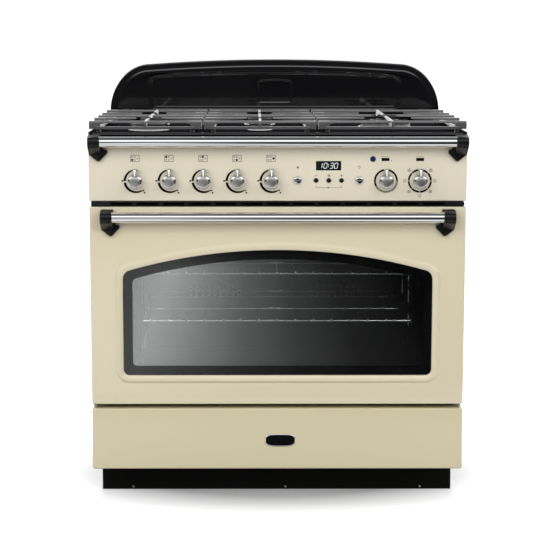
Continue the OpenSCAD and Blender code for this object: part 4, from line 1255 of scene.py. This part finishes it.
    def figures(self) -> None:
        """Lights plain figures in the clock's window."""
        x0, z0, _, z1 = self.display
        height, width, pen, lean, colon_x = 12.6, 7.2, 0.8, 0.18, 28.9
        base = (z0 + z1) / 2 - height / 2
        strokes: list[Mesh] = []
        for figure, x in (("1", x0 + 6.2), ("0", x0 + 18.0), ("3", x0 + 32.4), ("0", x0 + 43.2)):
            for stroke in STROKES[figure]:
                ends = []
                for u, v in stroke:
                    ends += [x + u * width + v * height / 2 * lean, base + v * height / 2]
                strokes.append(PrintedMark.bar(*ends, pen))
        for up in (0.3, 0.7):
            strokes.append(PrintedMark.dot(x0 + colon_x + up * height * lean, base + up * height, 0.8))
        self.shop.finish("clock_figures", merge(strokes), DIGITS, "chassis", "clock_glass", smooth_angle=20)


@dataclass
class Splashback:
    """The enamelled rear panel: a rolled rim, a sunk field and a small bare pocket."""

    shop: Workshop
    front: float = 575.0
    back: float = 608.0
    inset: float = 2.0
    height: float = 157.5
    rise: float = 12.5
    corner_w: float = 108.0
    corner_h: float = 130.0
    skirt: float = 10.0
    field: Outline = Outline(half_w=334.5, low=BODY_TOP + 30.5, top=BODY_TOP + 119, arch_r=5680,
                             low_r=14, high_r=14)
    pocket: Outline = Outline(half_w=44, low=BODY_TOP + 42, top=BODY_TOP + 103, arch_r=300,
                              low_r=6, high_r=6)
    # The steps of the rim, of the field's edge and of the pocket's edge: margin, and depth behind the front.
    rim_steps: tuple[Pair, ...] = ((0, 12), (0, 3.4), (0.4, 2.2), (1.2, 1.4), (2.6, 1.05), (4, 1.0),
                                   (15.4, 1.0), (16.2, 0.85), (19.0, 0.1), (19.8, 0), (20.6, 0))
    field_steps: tuple[Pair, ...] = ((10, 0), (8.7, 0), (8.2, 0.05), (5.4, 0.85), (4.8, 0.9), (1.8, 0.9),
                                     (1.2, 0.95), (-1.6, 1.75), (-2.2, 1.8), (-3, 1.8), (-5, 1.8))
    pocket_steps: tuple[Pair, ...] = ((3, 1.8), (1.5, 1.8), (0.9, 1.9), (-1.2, 2.5), (-2, 2.6), (-3.5, 2.6))

    def outline(self, margin: float, depth: float) -> Ring:
        """Returns the panel's outline at a depth: a bowed top that runs into long round shoulders.

        Args:
            margin: How far the outline is drawn in.
            depth: The depth behind the door face.

        Returns:
            The outline's points.
        """
        flat = HALF_W - self.inset - self.corner_w
        low = BODY_TOP - self.skirt
        top = BODY_TOP + self.height
        radius = (flat ** 2 + self.rise ** 2) / (2 * self.rise)
        turn, up = math.asin(flat / radius), math.pi / 2
        corner = arc(flat, top - self.rise - self.corner_h, self.corner_w - margin, self.corner_h - margin,
                     0, up, 16)[:-1]
        bow = arc(0, top - radius, radius - margin, radius - margin, up - turn, up + turn, 24)
        points = corner + bow + [(-x, z) for x, z in reversed(corner)]
        edge = HALF_W - self.inset - margin
        points += arc(-edge + 1, low + 1, 1, 1, math.pi, 1.5 * math.pi, 8)
        points += arc(edge - 1, low + 1, 1, 1, 1.5 * math.pi, 2 * math.pi, 7)
        return [(x, depth, z) for x, z in points]

    def build(self) -> None:
        """Builds the panel and the ridge over its pocket."""
        self.panel()
        self.ridge()

    def panel(self) -> None:
        """Presses the panel, with its open hollow back."""
        rings = [self.outline(1.5, self.back), self.outline(0, self.back)]
        rings += [self.outline(margin, self.front + sink) for margin, sink in self.rim_steps]
        count = len(rings[0])
        for shape, steps in ((self.field, self.field_steps), (self.pocket, self.pocket_steps)):
            rings += [resample(shape.grown(margin).ring(self.front + sink), count) for margin, sink in steps]
        hollow = [self.outline(margin, depth) for margin, depth in (
            (1.5, self.back), (2.5, self.front + 16), (16, self.front + 9))]
        whole = merge([loft(rings, False, True), loft(hollow, False, True)])
        bmesh.ops.remove_doubles(whole, verts=whole.verts, dist=1e-6)
        bmesh.ops.recalc_face_normals(whole, faces=whole.faces)
        self.shop.finish("splashback_panel", whole, BLACK_ENAMEL, "chassis", "black_enamel", ("splashback",),
                         smooth_angle=50)

    def ridge(self) -> None:
        """Raises the bare ridge over the pocket."""
        start, end = math.radians(74), math.radians(106)
        centre_z = BODY_TOP - 12
        rings = []
        for margin, lift in ((0, 0), (0, -1.6), (0.8, -2.4), (1.8, -2.4), (2.6, -1.6), (2.6, 0)):
            top = arc(0, centre_z, 150 - margin, 118 - margin, start, end, 20)
            under = arc(0, centre_z, 140 + margin, 112 + margin, end, start, 20)
            rings.append([(x, self.front + 2.5 + lift, z) for x, z in top + under])
        self.shop.finish("pocket_ridge", loft(rings, True, True), BLACK_ENAMEL, "chassis", "black_enamel",
                         smooth_angle=50)


def resample(ring: Ring, count: int) -> Ring:
    """Spreads a number of points over a closed ring, by the ring's own points.

    Args:
        ring: The ring.
        count: The number of points wanted.

    Returns:
        The new ring.
    """
    if len(ring) == count:
        return ring
    spread = []
    for i in range(count):
        along = i * len(ring) / count
        k = int(along)
        one, two = ring[k % len(ring)], ring[(k + 1) % len(ring)]
        spread.append(tuple(one[j] + (two[j] - one[j]) * (along - k) for j in range(3)))
    return spread


@dataclass
class ScrewRow:
    """Domed heads set at listed places by a node tree, facing along Y."""

    name: str
    places: list[Point]
    radius: float
    body: str
    slot: str
    finish: Finish
    facing: Facing = Facing.FRONT
    dome: float = 0.35
    slotted: bool = True

    def build(self, shop: Workshop) -> None:
        """Builds the heads as one plain mesh.

        Args:
            shop: The workshop.
        """
        points = bmesh.new()
        for p in self.places:
            points.verts.new(place(*p))
        holder = new_object(self.name + "_points", points)
        modifier = holder.modifiers.new("screws", "NODES")
        modifier.node_group = self._tree(shop.finishes.get(self.finish))
        items = modifier.node_group.interface.items_tree
        sockets = {item.name: item.identifier for item in items if item.in_out == "INPUT"}
        modifier[sockets["Radius"]] = self.radius * MM
        modifier[sockets["Turn"]] = math.radians(90 * -self.facing.value)
        modifier[sockets["Dome"]] = self.dome
        evaluated = holder.evaluated_get(bpy.context.evaluated_depsgraph_get())
        made = bpy.data.meshes.new_from_object(evaluated)
        holder.modifiers.clear()
        bpy.data.meshes.remove(holder.data)
        mesh = bmesh.new()
        mesh.from_mesh(made)
        bpy.data.meshes.remove(made)
        shop.finish(self.name, mesh, self.finish, self.body, self.slot, smooth_angle=40)

    def _tree(self, material: bpy.types.Material) -> bpy.types.NodeTree:
        """Builds the node tree: a domed head on each point.

        Args:
            material: The heads' material.

        Returns:
            The tree.
        """
        tree = bpy.data.node_groups.new(self.name + "_tree", "GeometryNodeTree")
        for title in ("Geometry", "Radius", "Turn", "Dome"):
            kind = "NodeSocketGeometry" if title == "Geometry" else "NodeSocketFloat"
            tree.interface.new_socket(title, in_out="INPUT", socket_type=kind)
        tree.interface.new_socket("Geometry", in_out="OUTPUT", socket_type="NodeSocketGeometry")
        graph = Graph(tree)
        given = graph.add("NodeGroupInput").outputs
        head = self._head(graph, given["Radius"], given["Dome"])
        turn = graph.vector(given["Turn"], 0.0, 0.0)
        turned = graph.add("GeometryNodeTransform", {"Geometry": head, "Rotation": turn}).outputs[0]
        spread = graph.add("GeometryNodeInstanceOnPoints", {"Points": given["Geometry"], "Instance": turned})
        real = graph.add("GeometryNodeRealizeInstances", {"Geometry": spread.outputs[0]}).outputs[0]
        dress = graph.add("GeometryNodeSetMaterial", {"Geometry": real, "Material": material})
        graph.add("NodeGroupOutput", {"Geometry": dress.outputs[0]})
        return tree

    def _head(self, graph: Graph, radius: Socket, dome: Socket) -> Socket:
        """Builds one head: a flattened ball, with a slot cut across it where it has one.

        Args:
            graph: The node tree.
            radius: The head's radius.
            dome: The head's height as a share of its radius.

        Returns:
            The head's geometry.
        """
        sizes = {"Segments": 20, "Rings": 8, "Radius": radius}
        ball = graph.add("GeometryNodeMeshUVSphere", sizes).outputs[0]
        flat = graph.vector(1.0, 1.0, dome)
        head = graph.add("GeometryNodeTransform", {"Geometry": ball, "Scale": flat}).outputs[0]
        if not self.slotted:
            return head
        length = graph.combine(Operation.MULTIPLY, radius, 1.1)
        width = graph.combine(Operation.MULTIPLY, radius, 0.22)
        slot = graph.add("GeometryNodeMeshCube", {"Size": graph.vector(length, width, length)}).outputs[0]
        cut = graph.add("GeometryNodeMeshBoolean", {"Mesh 1": head, "Mesh 2": slot}, operation="DIFFERENCE")
        return cut.outputs["Mesh"]


@dataclass
class Hob:
    """The hob tray, the burners and the pan supports."""

    shop: Workshop
    bend: float = 5.0
    bend_inner_r: float = 5.05
    bend_outer_r: float = 5.3
    end_gap: float = 11.0

    def build(self) -> None:
        """Builds every piece of the hob."""
        self.shop.refine("hotplate", HOB_ENAMEL, 0.8, 30)
        self.edge()
        self.shop.refine("burner_cups", GLINT_CUP_ALLOY, 0.5)
        self.shop.refine("burner_crowns", ALLOY, 0.25)
        self.shop.refine("burner_caps", BLACK_ENAMEL, 0.3, 50)
        for name in ("left", "centre", "right"):
            self.shop.refine(f"pan_support_{name}", CAST_IRON, 2.0, 30)

    def edge(self) -> None:
        """Rolls the glossy front edge of the tray."""
        centre_z = BODY_TOP - self.bend
        section = arc(self.bend, centre_z, self.bend_outer_r, self.bend_outer_r, math.pi, math.pi / 2, 12)
        section += arc(self.bend, centre_z, self.bend_inner_r, self.bend_inner_r, math.pi / 2, math.pi, 12)
        ends = (self.end_gap - HALF_W, HALF_W - self.end_gap)
        rings = [[(x, depth, z) for depth, z in section] for x in ends]
        self.shop.finish("hob_front_edge", loft(rings, True, True), BLACK_ENAMEL, "chassis", "black_enamel",
                         smooth_angle=40)


@dataclass
class Oven:
    """The oven's inside: liner, shelves, ladders, fans, elements, lamp and seal."""

    shop: Workshop
    wires: int = 15
    wire_inset: float = 25.0
    wire_rise: float = 6.6

    def build(self) -> None:
        """Builds every piece of the oven."""
        for node, finish, bevel, smooth_angle in (
                ("oven_liner", OVEN_ENAMEL, 0.6, 35), ("oven_seal", RUBBER, 0, 60),
                ("fan_baffles", OVEN_ENAMEL, 0.6, 35), ("fan_motors", STEEL, 0.5, 35),
                ("fan_left", ALLOY, 0.2, 35), ("fan_right", ALLOY, 0.2, 35), ("oven_elements", SHEATH, 0, 60),
                ("oven_lamp", LAMP_GLASS, 0.3, 50), ("shelf_runners", CHROME, 0, 60)):
            self.shop.refine(node, finish, bevel, smooth_angle)
        for body in ("shelf_lower", "shelf_upper"):
            self.shelf(body)

    def shelf(self, body: str) -> None:
        """Builds a wire shelf and the ends of its wires, painted white as glints.

        Args:
            body: The shelf's body.
        """
        node = "oven_" + body
        self.shop.refine(node, CHROME, 0, 60)
        low, high = (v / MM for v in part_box(node))
        reach, half = high.x - self.wire_inset, self.wires // 2
        front, height = low.y - FACE / MM, low.z + self.wire_rise
        places = [(reach * (i / half - 1), front, height) for i in range(self.wires)]
        ScrewRow(name=body + "_wire_ends", places=places, radius=2.4, body=body, slot="bright_chrome",
                 finish=GLINT_WHITE_WIRE_END, dome=0.9, slotted=False).build(self.shop)


@dataclass
class Carcass:
    """The chassis and the outer sheets."""

    shop: Workshop
    screw_lift: Pair = (0.4, 0.5)
    plinth_row: float = 8.0
    plinth_columns: tuple[float, ...] = (-359, 22, 359)
    side_inset: float = 14.0
    side_rows: tuple[float, ...] = (110, 300, 500, 700, 872)
    cover_rows: Pair = (96, 884)
    cover_columns: tuple[float, ...] = (-300, -150, 0, 150, 300)

    def build(self) -> None:
        """Builds every piece of the carcass and its screws."""
        for node, finish in (("chassis_frame", PLINTH_BLACK), ("base_tray", STEEL), ("rear_cover", STEEL),
                             ("levelling_feet", STEEL), ("side_panel_left", SIDE_BLACK),
                             ("side_panel_right", SIDE_BLACK), ("plinth", PLINTH_BLACK),
                             ("vent_trim", BLACK_PLASTIC)):
            self.shop.refine(node, finish)
        self.shop.refine("rear_rollers", NYLON, 0.6)
        self.screws()

    def screws(self) -> None:
        """Sets the screws of the plinth and of the rear cover."""
        front = (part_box("plinth")[0].y - FACE) / MM - self.screw_lift[0]
        places = [(x, front, self.plinth_row) for x in self.plinth_columns]
        ScrewRow(name="plinth_screws", places=places, radius=3.0, body="chassis", slot="satin_steel",
                 finish=STEEL).build(self.shop)
        back = (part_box("rear_cover")[1].y - FACE) / MM - self.screw_lift[1]
        places = [(side.value * (HALF_W - self.side_inset), back, z) for side in Side for z in self.side_rows]
        places += [(x, back, z) for z in self.cover_rows for x in self.cover_columns]
        ScrewRow(name="rear_screws", places=places, radius=4.0, body="chassis", slot="satin_steel",
                 finish=STEEL, facing=Facing.BACK).build(self.shop)


@dataclass
class Studio:
    """The pale floor, the soft lamps, the world and the camera. Metres."""

    camera_place: Point = (-0.0583, FACE - 3.7199, 1.1676)
    pitch: float = 7.495
    yaw: float = 0.155
    lens: float = 102.02
    sensor: float = 36.0
    shift: Pair = (0.036, -0.09)
    floor_reach: float = 30.0
    floor_tone: float = 0.4
    # The reach of the painted shadow round the cooker, across and back.
    shadow_reach: Pair = (0.46, 0.28)
    # What reflections show of the floor: its greys across, and how far before the door they change.
    across: float = 0.8
    across_stops: tuple[Pair, ...] = ((0.0, 0.6), (0.22, 0.90), (0.34, 0.5), (0.44, 0.25), (0.56, 0.105),
                                      (0.69, 0.035), (0.88, 0.006))
    glare_starts: Pair = (1.25, 1.05)
    glare_grows: Pair = (1.0, 0.62)
    dim_ends: Pair = (4.5, 3.5)
    band_starts: Pair = (7.0, 5.5)
    band_ends: Pair = (16.0, 14.0)
    band_color: tuple[float, float, float, float] = (0.3, 0.3, 0.31, 1)
    sky_stops: tuple[Pair, ...] = ((0.0, 0.02), (0.2, 0.03), (0.27, 0.1), (0.33, 1.0), (0.62, 1.0),
                                   (0.7, 0.25), (0.8, 0.1), (0.92, 0.05), (1.0, 0.06))

    def build(self) -> None:
        """Builds the studio."""
        self.camera()
        self.floor()
        self.world()
        self.lamps()
        bpy.context.scene.view_settings.view_transform = "Standard"

    def camera(self) -> None:
        """Sets the camera that looks at the cooker as the photograph does."""
        data = bpy.data.cameras.new("camera")
        data.lens = self.lens
        data.sensor_width = self.sensor
        data.shift_x, data.shift_y = self.shift
        data.clip_end = 100
        camera = bpy.data.objects.new("camera", data)
        camera.location = self.camera_place
        camera.rotation_euler = (math.radians(90 - self.pitch), 0, math.radians(-self.yaw))
        bpy.context.scene.collection.objects.link(camera)
        bpy.context.scene.camera = camera

    def floor(self) -> None:
        """Lays the floor."""
        mesh = bmesh.new()
        bmesh.ops.create_grid(mesh, x_segments=1, y_segments=1, size=self.floor_reach)
        floor = new_object("floor", mesh)
        floor.data.materials.append(self.floor_material())

    def floor_material(self) -> bpy.types.Material:
        """Makes the floor's material: white to the eye, with a painted shadow round the cooker over its cast
        shadow, and graded in reflections.

        Returns:
            The material.
        """
        made = bpy.data.materials.new("studio_floor")
        made.use_nodes = True
        nodes = made.node_tree.nodes
        graph = Graph(made.node_tree)
        plain = nodes["Principled BSDF"]
        graph.feed(plain.inputs["Base Color"], (self.floor_tone, self.floor_tone, self.floor_tone, 1))
        graph.feed(plain.inputs["Roughness"], 0.9)
        coords = graph.coords()
        width, depth = self.shadow_reach
        away = graph.length(graph.scaled(coords, (1 / width, 1 / depth, 0)))
        # Painted shadow: the floor's glow, seen only by the camera, is dimmed within an ellipse round the
        # cooker.
        strength = graph.ranged(away, (0.8, 1.5), (0.2, 1.0), smooth=False)
        glow = graph.add("ShaderNodeEmission", {"Color": WHITE, "Strength": strength})
        lit = graph.add("ShaderNodeAddShader", {0: plain.outputs["BSDF"], 1: glow.outputs["Emission"]})
        path = graph.add("ShaderNodeLightPath").outputs
        seen = graph.blend(path["Is Camera Ray"], plain.outputs["BSDF"], lit.outputs["Shader"])
        mirrored = graph.combine(Operation.MAXIMUM, path["Is Glossy Ray"], path["Is Transmission Ray"])
        surface = graph.blend(mirrored, seen, self.mirrored_floor(graph, coords, away))
        graph.feed(nodes["Material Output"].inputs["Surface"], surface)
        return made

    def mirrored_floor(self, graph: Graph, coords: Socket, away: Socket) -> Socket:
        """Builds the floor as reflections show it: a fade across, a glare close by and a grey band far off.

        Args:
            graph: The floor's node tree.
            coords: The place on the floor.
            away: The distance from the cooker, which is 1 at the edge of its painted shadow.

        Returns:
            The shader.
        """
        axes = graph.axes(coords)
        share = graph.ranged(axes["X"], (-self.across, self.across), (0.0, 1.0), smooth=False)
        glare = self.before_door(graph, axes["Y"], self.glare_grows, (0.35, 0.95))
        near = graph.add("ShaderNodeCombineColor", {"Red": glare, "Green": glare, "Blue": glare}).outputs[0]
        closeness = self.before_door(graph, axes["Y"], self.glare_starts, (0.0, 1.0))
        grey = graph.mix(closeness, graph.ramp(share, self.across_stops), near)
        band_start = self.before_door(graph, axes["Y"], self.band_starts, (1.0, 0.0))
        band_end = self.before_door(graph, axes["Y"], self.band_ends, (0.0, 1.0))
        band = graph.combine(Operation.MULTIPLY, band_start, band_end)
        # Painted shadow in reflections: the floor is dimmed close round the cooker.
        shaded = graph.ranged(away, (1.2, 2.5), (0.05, 1.0))
        close = self.before_door(graph, axes["Y"], self.dim_ends, (0.03, 1.0))
        dim = graph.combine(Operation.MULTIPLY, shaded, close)
        color = graph.mix(band, grey, self.band_color)
        strength = graph.combine(Operation.MAXIMUM, dim, band)
        return graph.add("ShaderNodeEmission", {"Color": color, "Strength": strength}).outputs["Emission"]

    @staticmethod
    def before_door(graph: Graph, y: Socket, distances: Pair, levels: Pair) -> Socket:
        """Eases from one level to another between two distances in front of the door."""
        return graph.ranged(y, (FACE - distances[0], FACE - distances[1]), levels)

    def world(self) -> None:
        """Gives a white background to the eye, soft light all round, and a darker horizon in reflections."""
        world = bpy.data.worlds.new("studio")
        bpy.context.scene.world = world
        world.use_nodes = True
        nodes = world.node_tree.nodes
        graph = Graph(world.node_tree)
        soft = nodes["Background"]
        graph.feed(soft.inputs["Color"], WHITE)
        graph.feed(soft.inputs["Strength"], 0.30)
        sky = graph.ramp(graph.axes(graph.coords("Generated"))["Z"], self.sky_stops)
        glossy = graph.add("ShaderNodeBackground", {"Color": sky, "Strength": 2.0}).outputs["Background"]
        white = graph.add("ShaderNodeBackground", {"Color": WHITE}).outputs["Background"]
        path = graph.add("ShaderNodeLightPath").outputs
        mirrored = graph.combine(Operation.MAXIMUM, path["Is Glossy Ray"], path["Is Transmission Ray"])
        shine = graph.blend(mirrored, soft.outputs["Background"], glossy)
        graph.feed(nodes["World Output"].inputs["Surface"], graph.blend(path["Is Camera Ray"], shine, white))

    def lamps(self) -> None:
        """Hangs the soft lamps and lights the oven."""
        self.area("key", (-1.5, FACE - 2.6, 2.2), (0, FACE, 1.0), (2.4, 1.8), 51)
        self.area("top", (0.0, 0.5, 3.0), (0, 0, 0.9), (2.4, 1.6), 190)
        self.area("fill", (1.5, FACE - 2.6, 2.2), (0, FACE, 1.0), (2.4, 1.8), 47)
        self.point("oven_light", place(0, 400, 620), 0.07)
        self.point("door_glow", place(40, 62, 600), 0.04, mirrored=False)

    @staticmethod
    def point(name: str, at: Vector, power: float, mirrored: bool = True) -> None:
        """Puts a small round lamp, hidden from the eye, at a place.

        Args:
            name: Its name.
            at: Its place.
            power: Its power in watts.
            mirrored: Whether polished surfaces show it.
        """
        lamp = bpy.data.lights.new(name, "POINT")
        lamp.energy = power
        lamp.shadow_soft_size = 0.02
        holder = bpy.data.objects.new(name, lamp)
        holder.location = at
        holder.visible_camera = False
        holder.visible_glossy = mirrored
        holder.visible_transmission = False
        bpy.context.scene.collection.objects.link(holder)

    @staticmethod
    def area(name: str, at: Point, aim: Point, size: Pair, power: float) -> None:
        """Hangs one soft box.

        Args:
            name: Its name.
            at: Its place.
            aim: The point that it faces.
            size: Its width and height.
            power: Its power in watts.
        """
        lamp = bpy.data.lights.new(name, "AREA")
        lamp.shape = "RECTANGLE"
        lamp.size, lamp.size_y = size
        lamp.energy = power
        holder = bpy.data.objects.new(name, lamp)
        holder.location = at
        holder.visible_glossy = False
        holder.rotation_euler = (Vector(aim) - Vector(at)).to_track_quat("-Z", "Y").to_euler()
        bpy.context.scene.collection.objects.link(holder)


def main() -> None:
    """Builds the studio and the cooker."""
    logging.basicConfig(level=logging.INFO, format="%(message)s")
    Studio().build()
    shop = Workshop(Finishes())
    for assembly in (Carcass, Hob, Splashback, Controls, Rails, Door, Drawer, Oven):
        assembly(shop).build()
        LOG.info("%s is built", assembly.__name__)


if __name__ == "__main__":
    main()
